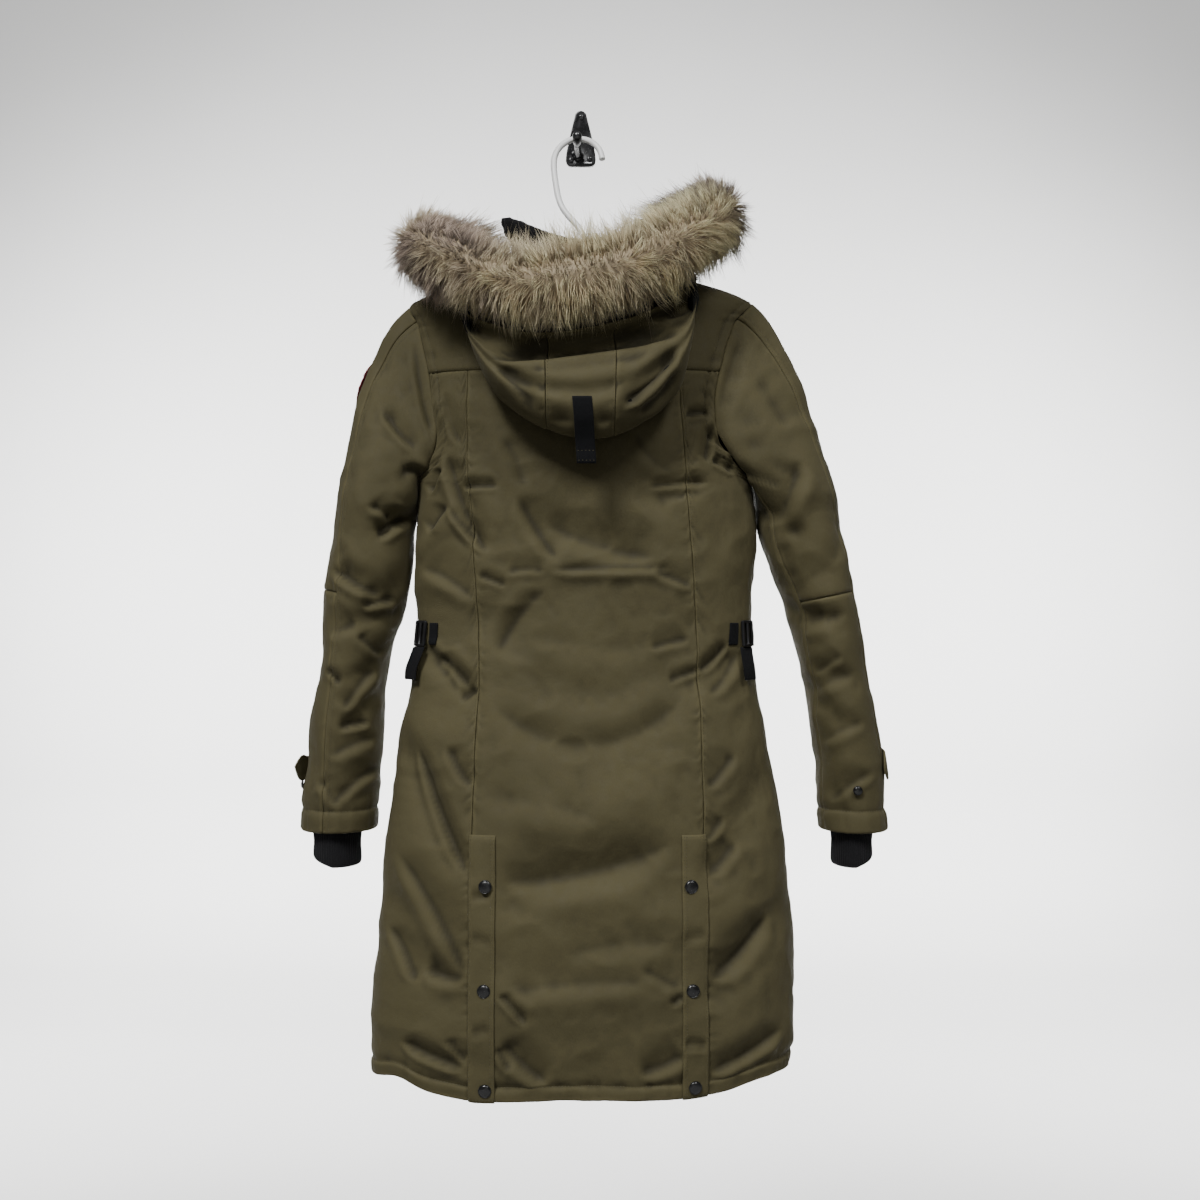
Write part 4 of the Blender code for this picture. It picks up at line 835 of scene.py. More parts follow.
class Sheet:
    """A panel of cloth as a grid of points, with its normals and distances from its borders."""

    def __init__(self, skin, u, v, seams, out, closed):
        self.closed, self.seams = closed, seams
        flat = skin(u, v, out)
        self.normal = unit(skin(u, v, out + 1.0) - flat)
        across = np.linalg.norm(np.diff(flat, axis=1), axis=-1)
        along = np.linalg.norm(np.diff(flat, axis=0), axis=-1)
        self.left = np.concatenate([np.zeros((len(u), 1)), np.cumsum(across, 1)], 1)
        self.low = np.concatenate([np.zeros((1, u.shape[1])), np.cumsum(along, 0)], 0)
        self.right = self.left[:, -1:] - self.left
        self.high = self.low[-1:] - self.low
        self.relief = np.zeros(u.shape)
        for side, seam in seams.items():
            run = self.low if side in ("left", "right") else self.left
            self.relief = self.relief + seam.height(getattr(self, side), run)
        self.points = flat + self.normal * self.relief[..., None]

    def border_line(self, side, distance):
        """The line on the finished surface at a distance from one border, and its normals."""
        off = getattr(self, side)
        rows = off if side in ("left", "right") else off.T
        points, normals = self.points, self.normal
        if side in ("low", "high"):
            points, normals = points.swapaxes(0, 1), normals.swapaxes(0, 1)
        found = []
        for data in (points, normals):
            line = []
            for i, row in enumerate(rows):
                order = slice(None, None, -1) if side in ("right", "high") else slice(None)
                line.append([np.interp(distance, row[order], data[i, order, k]) for k in range(3)])
            found.append(np.array(line))
        return found[0], unit(found[1])


def link(name, mesh, *materials):
    """A new object in the scene, with its materials."""
    obj = bpy.data.objects.new(name, mesh)
    bpy.context.scene.collection.objects.link(obj)
    for material in materials:
        mesh.materials.append(material)
    return obj


def raw_mesh(name, points, faces, uv=None, kinds=None, tones=None):
    """A mesh from points in millimetres and lists of faces, each list with one number of corners."""
    mesh = bpy.data.meshes.new(name)
    mesh.vertices.add(len(points))
    mesh.vertices.foreach_set("co", (np.asarray(points, float) * MM).astype(np.float32).ravel())
    faces = [np.asarray(f, np.int32) for f in faces if len(f)]
    corners = np.concatenate([f.ravel() for f in faces])
    counts = np.concatenate([np.full(len(f), f.shape[1], np.int32) for f in faces])
    mesh.loops.add(len(corners))
    mesh.loops.foreach_set("vertex_index", corners)
    mesh.polygons.add(len(counts))
    starts = np.concatenate([[0], np.cumsum(counts)[:-1]]).astype(np.int32)
    mesh.polygons.foreach_set("loop_start", starts)
    if kinds is not None:
        mesh.polygons.foreach_set("material_index", np.concatenate(kinds).astype(np.int32))
    if uv is not None:
        layer = mesh.uv_layers.new(name="cloth")
        layer.data.foreach_set("uv", np.asarray(uv, np.float32)[corners].ravel())
    if tones is not None:
        layer = mesh.attributes.new("tone", "FLOAT", "POINT")
        layer.data.foreach_set("value", np.asarray(tones, np.float32))
    mesh.update(calc_edges=True)
    mesh.validate()
    mesh.shade_smooth()
    return mesh


def coarse_faces(index, step):
    """Faces over a grid that use only every few of its points, but all of those on its borders."""
    last_row, last_column = index.shape[0] - 1, index.shape[1] - 1
    rows = [*range(0, last_row - step + 1, step), last_row]
    columns = [*range(0, last_column - step + 1, step), last_column]
    by_count = {}
    for low, high in zip(rows, rows[1:]):
        for left, right in zip(columns, columns[1:]):
            bottom = range(left, right) if low == 0 else [left]
            up = range(low, high) if right == last_column else [low]
            top = range(right, left, -1) if high == last_row else [right]
            down = range(high, low, -1) if left == 0 else [high]
            corners = [index[low, c] for c in bottom] + [index[r, right] for r in up]
            corners += [index[high, c] for c in top] + [index[r, left] for r in down]
            by_count.setdefault(len(corners), []).append(corners[::-1])
    return [np.array(group) for group in by_count.values()]


def hollows(points, normal):
    """How sharply a grid is hollow at each of its points, from 0 to 1."""
    wide = np.pad(points, ((2, 2), (2, 2), (0, 0)), mode="edge")
    around = (wide[:-4, 2:-2] + wide[4:, 2:-2] + wide[2:-2, :-4] + wide[2:-2, 4:]) / 4
    span = np.linalg.norm(wide[4:, 2:-2] - wide[:-4, 2:-2], axis=-1).mean() / 2
    deep = np.clip(np.sum((around - points) * normal, -1) / (1.5 * (span / 6) ** 2), 0, 1)
    wide = np.pad(deep, 1, mode="edge")
    return (wide[:-2, 1:-1] + wide[2:, 1:-1] + wide[1:-1, :-2] + wide[1:-1, 2:] + 4 * deep) / 8


def shell(name, sheet, wall, nodes, slot, materials):
    """A closed cloth wall from a sheet: outer skin, inner skin and rounded borders."""
    outer = sheet.points
    rows, columns = outer.shape[:2]
    count = rows * columns
    inner = outer - sheet.normal * (wall + np.minimum(sheet.relief, 0) * 0.5)[..., None]
    index = np.arange(count).reshape(rows, columns)
    if sheet.closed:
        here, there = index, np.roll(index, -1, 1)
        loops = [index[0], index[-1][::-1]]
    else:
        here, there = index[:, :-1], index[:, 1:]
        loops = [np.concatenate([index[0], index[1:, -1], index[-1, -2::-1], index[-2:0:-1, 0]])]
    quads = np.stack([here[:-1], there[:-1], there[1:], here[1:]], -1).reshape(-1, 4)
    facing = np.cross(outer[0, 1] - outer[0, 0], outer[1, 0] - outer[0, 0]) @ sheet.normal[0, 0]
    bulges = np.zeros((rows, columns, 3))
    steps = {
        "low": (outer[0] - outer[1], np.s_[0]),
        "high": (outer[-1] - outer[-2], np.s_[-1]),
        "left": (outer[:, 0] - outer[:, 1], np.s_[:, 0]),
        "right": (outer[:, -1] - outer[:, -2], np.s_[:, -1]),
    }
    for side, (step, where) in steps.items():
        seam = sheet.seams.get(side)
        if seam is not None and seam.bulge:
            bulges[where] += unit(step) * seam.bulge
    outer_line, inner_line, bulges = (grid.reshape(-1, 3) for grid in (outer, inner, bulges))
    points = [outer_line, inner_line]
    edge_faces, start = [], 2 * count
    for ring in loops:
        points.append((outer_line[ring] + inner_line[ring]) / 2 + bulges[ring])
        own = start + np.arange(len(ring))
        start += len(ring)
        after, own_after = np.roll(ring, -1), np.roll(own, -1)
        edge_faces.append(np.stack([after, ring, own, own_after], -1))
        edge_faces.append(np.stack([own_after, own, ring + count, after + count], -1))
    inside = [quads[:, ::-1] + count]
    if wall > 3 and not sheet.closed:
        inside = coarse_faces(index + count, 3)
    faces = [quads, *inside, *edge_faces]
    if facing < 0:
        faces = [f[:, ::-1] for f in faces]
    points = np.concatenate(points)
    run = sheet.left - sheet.left[:, columns // 2][:, None]
    uv = np.stack([run * MM, sheet.low * MM], -1).reshape(-1, 2)
    near = np.minimum.reduce([getattr(sheet, side) for side in sheet.seams])
    hollow = hollows(outer, sheet.normal)
    # tone: above 0, paler wear along the seams; below 0, painted shade in the hollows of creases
    wear_and_painted_shade = (np.exp(-((near / 3.0) ** 2)) * (1 - hollow) - hollow).ravel()
    tones = np.concatenate([wear_and_painted_shade, wear_and_painted_shade * 0, *[wear_and_painted_shade[ring] for ring in loops]])
    kinds = [np.zeros(len(faces[0]))]
    kinds += [np.ones(len(f)) * (len(materials) > 1) for f in inside]
    kinds += [np.zeros(len(f)) for f in edge_faces]
    uv = np.concatenate([uv, uv, *[uv[ring] for ring in loops]])
    used = np.zeros(len(points), bool)
    for face in faces:
        used[face.ravel()] = True
    renumber = np.cumsum(used) - 1
    faces = [renumber[face] for face in faces]
    mesh = raw_mesh(name, points[used], faces, uv[used], kinds, tones[used])
    return settle(link(name, mesh, *materials), slot, *nodes)


def settle(obj, slot, *nodes):
    """The piece moves with the coat and stands for the solids, which it hides. The slot is not used."""
    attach(obj, "root")
    if nodes:
        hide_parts(*nodes)
    return obj


def resample(line, normals, pitch):
    """Evenly spaced points along a line, with normals."""
    run = np.concatenate([[0], np.cumsum(np.linalg.norm(np.diff(line, axis=0), axis=1))])
    count = int(run[-1] / pitch)
    if count < 2:
        return None
    at = (np.arange(count) + 0.5) * run[-1] / count
    point = np.stack([np.interp(at, run, line[:, k]) for k in range(3)], -1)
    ahead = np.stack([np.interp(at + 0.6, run, line[:, k]) for k in range(3)], -1)
    behind = np.stack([np.interp(at - 0.6, run, line[:, k]) for k in range(3)], -1)
    up = unit(np.stack([np.interp(at, run, normals[:, k]) for k in range(3)], -1))
    return point, unit(ahead - behind), up


def stitching(name, lines, slot, material, length):
    """Rows of stitches, each a short spindle of thread that lies half sunk in the cloth."""
    ring = np.array([(0, 1), (1, 0), (0, -1), (-1, 0)], float) * THREAD_RADIUS
    points, faces, start = [], [], 0
    for line, normals in lines:
        found = resample(line, normals, length + STITCH_GAP)
        if found is None:
            continue
        centre, along, up = found
        side = np.cross(along, up)
        centre = centre + up * 0.12
        ends = [centre - along * length / 2, centre + along * length / 2]
        middle = [centre + side * a * 0.95 + up * b * 0.8 for a, b in ring]
        block = np.stack([ends[0] - up * 0.25, *middle, ends[1] - up * 0.25], 1)
        number = len(centre)
        base = (start + np.arange(number) * 6)[:, None]
        for k in range(4):
            after = (k + 1) % 4
            faces.append(base + np.array([0, 1 + k, 1 + after]))
            faces.append(base + np.array([5, 1 + after, 1 + k]))
        points.append(block.reshape(-1, 3))
        start += number * 6
    mesh = raw_mesh(name, np.concatenate(points), [np.concatenate(faces)])
    return settle(link(name, mesh, material), slot)


# ---- Finishes ----


class Finish:
    """A material built up from nodes round a Principled shader."""

    def __init__(self, name, colour, rough, **sockets):
        self.material = bpy.data.materials.new(name)
        self.material.use_nodes = True
        self.material.diffuse_color = (*colour, 1.0)
        self.nodes, self.links = self.material.node_tree.nodes, self.material.node_tree.links
        self.shader = self.nodes["Principled BSDF"]
        self.shader.inputs["Base Color"].default_value = (*colour, 1.0)
        self.shader.inputs["Roughness"].default_value = rough
        for key, value in sockets.items():
            self.shader.inputs[key.replace("_", " ").title()].default_value = value

    def node(self, kind, inputs=(), **fields):
        """A new node. An input's value is either a socket to join or a number."""
        node = self.nodes.new("ShaderNode" + kind)
        for key, value in fields.items():
            setattr(node, key, value)
        for key, value in dict(inputs).items():
            if isinstance(value, bpy.types.NodeSocket):
                self.links.new(value, node.inputs[key])
            else:
                node.inputs[key].default_value = value
        return node

    def object_place(self):
        return self.node("TexCoord").outputs["Object"]

    def cloth_place(self, scale=(1.0, 1.0), turn=0.0):
        source = self.node("UVMap", uv_map="cloth")
        mapping = {0: source.outputs[0], "Scale": (*scale, 1.0), "Rotation": (0, 0, turn)}
        return self.node("Mapping", mapping).outputs[0]

    def noise(self, place, scale, detail=2.0, rough=0.5):
        values = {"Vector": place, "Scale": scale, "Detail": detail, "Roughness": rough}
        return self.node("TexNoise", values).outputs[0]

    def wave(self, place, scale):
        return self.node("TexWave", {"Vector": place, "Scale": scale}).outputs["Fac"]

    def math(self, operation, a, b):
        return self.node("Math", {0: a, 1: b}, operation=operation).outputs[0]

    def range(self, value, low, high, to_low=0.0, to_high=1.0):
        values = {0: value, 1: low, 2: high, 3: to_low, 4: to_high}
        return self.node("MapRange", values).outputs[0]

    def mix(self, share, a, b):
        node = self.node("Mix", data_type="RGBA")
        for socket, value in ((node.inputs[0], share), (node.inputs[6], a), (node.inputs[7], b)):
            if isinstance(value, bpy.types.NodeSocket):
                self.links.new(value, socket)
            else:
                socket.default_value = (*value, 1.0) if isinstance(value, tuple) else value
        return node.outputs[2]

    def ramp(self, share, *stops):
        node = self.node("ValToRGB", {0: share})
        elements = node.color_ramp.elements
        while len(elements) < len(stops):
            elements.new(0.5)
        for element, (at, colour) in zip(elements, stops):
            element.position, element.color = at, (*colour, 1.0)
        return node.outputs[0]

    def tone(self):
        return self.node("Attribute", attribute_name="tone").outputs["Fac"]

    def colour(self, socket):
        self.links.new(socket, self.shader.inputs["Base Color"])

    def rough(self, socket):
        self.links.new(socket, self.shader.inputs["Roughness"])

    def bump(self, height, distance, strength, after=None):
        values = {"Height": height, "Distance": distance, "Strength": strength}
        if after is not None:
            values["Normal"] = after
        socket = self.node("Bump", values).outputs[0]
        self.links.new(socket, self.shader.inputs["Normal"])
        return socket


def shade(colour, factor):
    """A colour made lighter or darker."""
    return tuple(min(1.0, c * factor) for c in colour)


def twill_finish():
    """Matt olive shell cloth: a fine steep twill, paler where it is worn, with painted shade deep in
    folds.
    """
    base = tuple(settings().cloth_colour)
    finish = Finish("parka_twill", base, 0.78, sheen_weight=0.06, sheen_roughness=0.45)
    finish.shader.inputs["Specular IOR Level"].default_value = 0.28
    finish.shader.inputs["Sheen Tint"].default_value = (0.62, 0.60, 0.50, 1.0)
    place = finish.object_place()
    broad = finish.range(finish.noise(place, 9.0, 3.0), 0.3, 0.7)
    small = finish.range(finish.noise(place, 90.0, 4.0, 0.6), 0.3, 0.7)
    yarn = finish.range(finish.noise(finish.cloth_place((900, 330)), 1.0, 2.0), 0.25, 0.75)
    colour = finish.mix(broad, shade(base, 0.90), shade(base, 1.08))
    colour = finish.mix(finish.math("MULTIPLY", small, 0.22), colour, shade(base, 1.28))
    colour = finish.mix(finish.math("MULTIPLY", yarn, 0.30), colour, shade(base, 0.70))
    worn = finish.math("MULTIPLY", finish.tone(), finish.range(small, 0.0, 1.0, 0.1, 0.42))
    colour = finish.mix(worn, colour, shade(base, 1.75))
    # Painted shade: where tone is below 0, in the hollows of creases, the colour goes towards a quarter
    # of the base
    finish.colour(finish.mix(finish.math("MULTIPLY", finish.tone(), -0.8), colour, shade(base, 0.25)))
    finish.rough(finish.range(small, 0.0, 1.0, 0.72, 0.86))
    twill = finish.wave(finish.cloth_place((1.0, 1.0), radians(27)), 260.0)
    cross = finish.wave(finish.cloth_place((1.0, 1.0), radians(117)), 340.0)
    weave = finish.math("ADD", twill, finish.math("MULTIPLY", cross, 0.5))
    first = finish.bump(weave, 0.00012, 0.55)
    finish.bump(small, 0.0006, 0.35, first)
    return finish.material


def lining_finish():
    """Thin black lining, matt and a little uneven."""
    finish = Finish("parka_lining", tuple(settings().lining_colour), 0.9)
    place = finish.object_place()
    finish.shader.inputs["Specular IOR Level"].default_value = 0.1
    finish.rough(finish.range(finish.noise(place, 40.0), 0.3, 0.7, 0.84, 0.96))
    finish.bump(finish.noise(finish.cloth_place((800, 800)), 1.0), 0.0001, 0.5)
    return finish.material


def thread_finish():
    """Sewing thread, a little darker than the cloth, with a fine twist."""
    base = shade(tuple(settings().cloth_colour), 0.82)
    finish = Finish("parka_thread", base, 0.6)
    finish.bump(finish.wave(finish.object_place(), 900.0), 0.0001, 0.4)
    return finish.material


def webbing_finish():
    """Black woven tape."""
    finish = Finish("parka_webbing", (0.012, 0.0125, 0.014), 0.72, sheen_weight=0.03)
    finish.shader.inputs["Specular IOR Level"].default_value = 0.10
    across = finish.wave(finish.cloth_place(), 420.0)
    along = finish.wave(finish.cloth_place((1, 1), pi / 2), 300.0)
    weave = finish.math("MULTIPLY", across, along)
    finish.colour(finish.mix(weave, (0.004, 0.0042, 0.005), (0.014, 0.0145, 0.016)))
    finish.bump(weave, 0.0003, 0.8)
    return finish.material


def rib_finish():
    """Black knit with a fine fuzz."""
    finish = Finish("parka_rib", (0.010, 0.010, 0.011), 0.9, sheen_weight=0.05)
    finish.shader.inputs["Specular IOR Level"].default_value = 0.2
    rows = finish.wave(finish.cloth_place((1, 1), pi / 2), 420.0)
    fuzz = finish.noise(finish.object_place(), 700.0)
    finish.colour(finish.mix(fuzz, (0.006, 0.006, 0.007), (0.016, 0.016, 0.018)))
    finish.bump(finish.math("ADD", rows, fuzz), 0.0003, 0.7)
    return finish.material


def fleece_finish():
    """Black fleece with short curls."""
    finish = Finish("parka_fleece", (0.009, 0.009, 0.010), 0.95, sheen_weight=0.04)
    finish.shader.inputs["Specular IOR Level"].default_value = 0.1
    curl = finish.noise(finish.object_place(), 420.0, 4.0, 0.65)
    finish.colour(finish.mix(curl, (0.003, 0.003, 0.0035), (0.014, 0.014, 0.015)))
    finish.bump(curl, 0.0016, 0.9)
    return finish.material


def fur_finish():
    """Hair: along it from root to tip in u, each hair's darkness in v, lessened by painted light on the
    hairs that hang below the parting, greyer where tone is high.
    """
    pale, grey = tuple(settings().fur_pale), tuple(settings().fur_grey)
    finish = Finish("parka_fur", pale, 0.62, sheen_weight=0.1)
    finish.shader.inputs["Specular IOR Level"].default_value = 0.25
    source = finish.node("SeparateXYZ", {0: finish.node("UVMap", uv_map="cloth").outputs[0]})
    along, own = source.outputs[0], source.outputs[1]
    warm, cool = (
        finish.ramp(along, *((at, shade(base, factor)) for at, factor in stops))
        for base, stops in (
            (pale, ((0.0, 0.34), (0.3, 0.82), (0.8, 1.2))),
            (grey, ((0.0, 0.28), (0.45, 0.66), (0.9, 1.75))),
        )
    )
    colour = finish.mix(finish.tone(), warm, cool)
    darkness = finish.range(own, 0.0, 2.0, 0.0, 0.92)
    finish.colour(finish.mix(darkness, colour, (0.075, 0.058, 0.046)))
    return finish.material


def plastic_finish(name, colour, rough):
    """Moulded plastic with a faint grain."""
    finish = Finish(name, colour, rough)
    grain = finish.noise(finish.object_place(), 60.0, 4.0)
    finish.rough(finish.range(grain, 0.3, 0.7, rough * 0.75, rough * 1.3))
    finish.colour(finish.mix(grain, shade(colour, 0.94), shade(colour, 1.05)))
    finish.bump(grain, 0.0001, 0.3)
    return finish.material


def enamel_finish(name, colour, rough):
    """Black enamel over cast metal, a little uneven, duller where hands and threads rub it."""
    finish = Finish(name, colour, rough, coat_weight=0.5)
    grain = finish.noise(finish.object_place(), 110.0, 4.0)
    finish.colour(finish.mix(finish.range(grain, 0.45, 0.8), colour, shade(colour, 2.4)))
    finish.rough(finish.range(grain, 0.3, 0.75, rough * 0.8, rough * 1.8))
    finish.bump(grain, 0.0002, 0.35)
    return finish.material


def badge_finish():
    """Dull red cloth with slanting rows."""
    finish = Finish("parka_badge", (0.16, 0.010, 0.016), 0.8, sheen_weight=0.03)
    rows = finish.wave(finish.cloth_place((1, 1), radians(45)), 420.0)
    finish.colour(finish.mix(rows, (0.115, 0.007, 0.011), (0.19, 0.013, 0.020)))
    finish.bump(rows, 0.0003, 0.8)
    return finish.material


# ---- The coat's panels ----

HEM = dict(roll=0.8, pucker=1.1, reach=16.0, pitch=13.0, rows=(16.0,), bulge=1.4, pinch=2.4)
CUFF_HEM = dict(roll=0.8, pucker=1.0, reach=16.0, pitch=9.0, rows=(26.0,), bulge=1.2, pinch=1.8)
PRINCESS = dict(roll=0.7, pucker=1.0, reach=9.0, pitch=5.0)
YOKE_SEAM = dict(roll=0.8, pucker=0.6, reach=9.0)
ARM_SEAM = dict(roll=0.8, pucker=1.3, reach=7.0, pitch=4.6, rows=(12.5,), pinch=0.8, bulge=0.5)


def round_arm_levels(first, last, step=2.5):
    """Levels beside the armhole, by even turns round it."""
    angles = np.linspace(first, last, round(abs(first - last) / step) + 1)
    return ARM_MIDDLE + ARM_HALF * np.cos(np.radians(angles))


def lower_levels(pitch):
    """Levels from the hem to the underarm, closer at the hem's fold and its row of stitches."""
    start = HEM_LEVEL + np.array([0, 0.8, 1.7, 2.8, 4.5, 6.5])
    count = round((UNDERARM - 6 - start[-1]) / pitch)
    run = np.linspace(start[-1], UNDERARM, count + 1)[1:-1]
    run = np.unique(np.concatenate([run, HEM_LEVEL + np.array([13.5, 15, 16, 17, 18.5])]))
    return np.concatenate([start, run])


def across_levels(levels, share):
    return np.repeat(levels[:, None], len(share), 1)


def panel_grid(levels, first_edge, last_edge, width, pitch):
    """A grid of turns and levels between two edges."""
    share = spread(width, pitch)
    first, last = first_edge(levels), last_edge(levels)
    return first[:, None] * (1 - share) + last[:, None] * share, across_levels(levels, share)


def ordered(side, u, v):
    """A grid that runs from left to right on both sides."""
    return (u[:, ::-1], v[:, ::-1]) if side < 0 else (u, v)


def sew(
    name, skin, u, v, seams, wall=BODY_WALL, flat=None, area=None, out=0.0, slot="olive_twill",
    materials=None, closed=False, rests_on=("hanger_frame",), held="hung",
):
    """Makes one panel with its stitching. Its cut size, flat and area, is not used."""
    materials = materials or (MATERIALS["twill"], MATERIALS["lining"])
    sheet = Sheet(skin, u, v, seams, out, closed)
    obj = shell(name + "_cloth", sheet, wall, (name,), slot, materials)
    lines = [sheet.border_line(side, row) for side, seam in seams.items() for row in seam.rows]
    extra = []
    if lines:
        length = settings().stitch_length / MM
        extra = [stitching(name + "_stitching", lines, slot, MATERIALS["thread"], length)]


def build_back():
    """The centre back, the two side panels and the yoke."""
    levels = np.concatenate([lower_levels(2.9), round_arm_levels(180, YOKE_STEP, 1.6)])
    levels[-1] -= SEAM_GAP / 2
    first = seam_turn(-1, levels) + half_gap(levels)
    last = seam_turn(1, levels) - half_gap(levels)
    share = spread(266.0, 3.0)
    v = across_levels(levels, share)
    ends = [body_shape(edge[:, None], levels[:, None])[..., 0] for edge in (first, last)]
    u = turn_at(ends[0] + share * (ends[1] - ends[0]), v)
    u[:, 0], u[:, -1] = first, last
    seams = {
        "left": Seam(seed=11, **PRINCESS),
        "right": Seam(seed=12, **PRINCESS),
        "low": Seam(seed=13, **HEM),
        "high": Seam(seed=14, **YOKE_SEAM),
    }
    sew("back_center", fine_body, u, v, seams, flat=(0.275, 0.84), area=0.226)
    for side, name in ((-1, "left"), (1, "right")):
        u, v = panel_grid(
            levels,
            lambda z: seam_turn(side, z) + side * half_gap(z),
            lambda z: side_turn(side, z, True) - side * half_gap(z),
            190.0, 3.1,
        )
        inner, outer = ("left", "right") if side > 0 else ("right", "left")
        seams = {
            inner: Seam(seed=11 if side < 0 else 12, rows=(2.4,), **PRINCESS),
            outer: Seam(seed=20 + side, **ARM_SEAM),
            "low": Seam(seed=23 + side, **HEM),
            "high": Seam(seed=14, **YOKE_SEAM),
        }
        area = 0.122 if side > 0 else 0.128
        sew(f"back_side_{name}", fine_body, *ordered(side, u, v), seams, flat=(0.20, 0.84), area=area)
    levels = [round_arm_levels(YOKE_STEP, 0), np.arange(-234.5, NECK_LEVEL, 1.5), [NECK_LEVEL]]
    levels = np.concatenate(levels)
    levels[0] += SEAM_GAP / 2
    u, v = panel_grid(
        levels,
        lambda z: side_turn(-1, z, True) + half_gap(z),
        lambda z: side_turn(1, z, True) - half_gap(z),
        400.0, 4.0,
    )
    seams = {
        "left": Seam(seed=19, **ARM_SEAM),
        "right": Seam(seed=21, **ARM_SEAM),
        "low": Seam(seed=14, rows=(2.4,), **YOKE_SEAM),
        "high": Seam(seed=25),
    }
    sew("back_yoke", fine_body, u, v, seams, flat=(0.43, 0.22), area=0.062)


def build_fronts():
    """The two plain fronts, which meet under the storm flap."""
    levels = np.concatenate(
        [lower_levels(7.0), round_arm_levels(180, 0, 4), np.arange(-234, NECK_LEVEL, 2.0), [NECK_LEVEL]]
    )
    for side, name in ((-1, "left"), (1, "right")):
        u, v = panel_grid(
            levels,
            lambda z: side_turn(side, z, False) + side * half_gap(z),
            lambda z: np.full_like(z, side * 180.0) - side * half_gap(z, 1.0),
            300.0, 7.0,
        )
        arm, middle = ("left", "right") if side > 0 else ("right", "left")
        seams = {
            arm: Seam(seed=20 + side, **ARM_SEAM),
            middle: Seam(seed=31, rows=(3.0,), bulge=0.6),
            "low": Seam(seed=33 + side, **HEM),
            "high": Seam(seed=36),
        }
        sew(f"front_{name}", fine_body, *ordered(side, u, v), seams, flat=(0.32, 1.0), area=0.219)


def build_flaps():
    """The flaps beside the hem's slits, and the storm flap down the front."""
    edge = dict(roll=0.9, pucker=0.25, reach=6.0, pitch=6.0, bulge=0.5)
    levels = np.arange(HEM_LEVEL, VENT_TOP + 1, 4.9)
    levels[-1] = VENT_TOP
    out = LAY_GAP + FLAP_WALL
    places = {"left": (-123.5, -94.0), "right": (118.5, 147.0)}
    for name, (first, last) in places.items():
        share = spread(29.5, 3.0)
        z = across_levels(levels, share)
        u = turn_at(first + share * (last - first), z)
        seams = {
            "left": Seam(seed=41, rows=(2.0,) if name == "left" else (2.0, 4.6), **edge),
            "right": Seam(seed=42, rows=(2.0, 4.6) if name == "left" else (2.0,), **edge),
            "high": Seam(seed=43, rows=(2.2,), roll=1.0, bulge=0.4),
            "low": Seam(seed=44, rows=(3.0,), roll=0.8, bulge=0.6),
        }
        sew(f"vent_flap_{name}", fine_body, u, z, seams, FLAP_WALL, (0.0305, 0.298), out=out,
            rests_on=(f"back_side_{name}_cloth",), held="laid")
    levels = np.concatenate([np.arange(HEM_LEVEL + 5, -200, 8.0), [-197.0]])
    share = spread(66.0, 6.0)
    z = across_levels(levels, share)
    u = (180 - turn_at(-30.0 + share * 66.0, z))[:, ::-1]
    seams = {side: Seam(seed=45, rows=(2.5,), **edge) for side in SIDES}
    sew("storm_flap", fine_body, u, z, seams, FLAP_WALL, (0.068, 0.965), out=out,
        rests_on=("front_right_cloth",), held="laid")


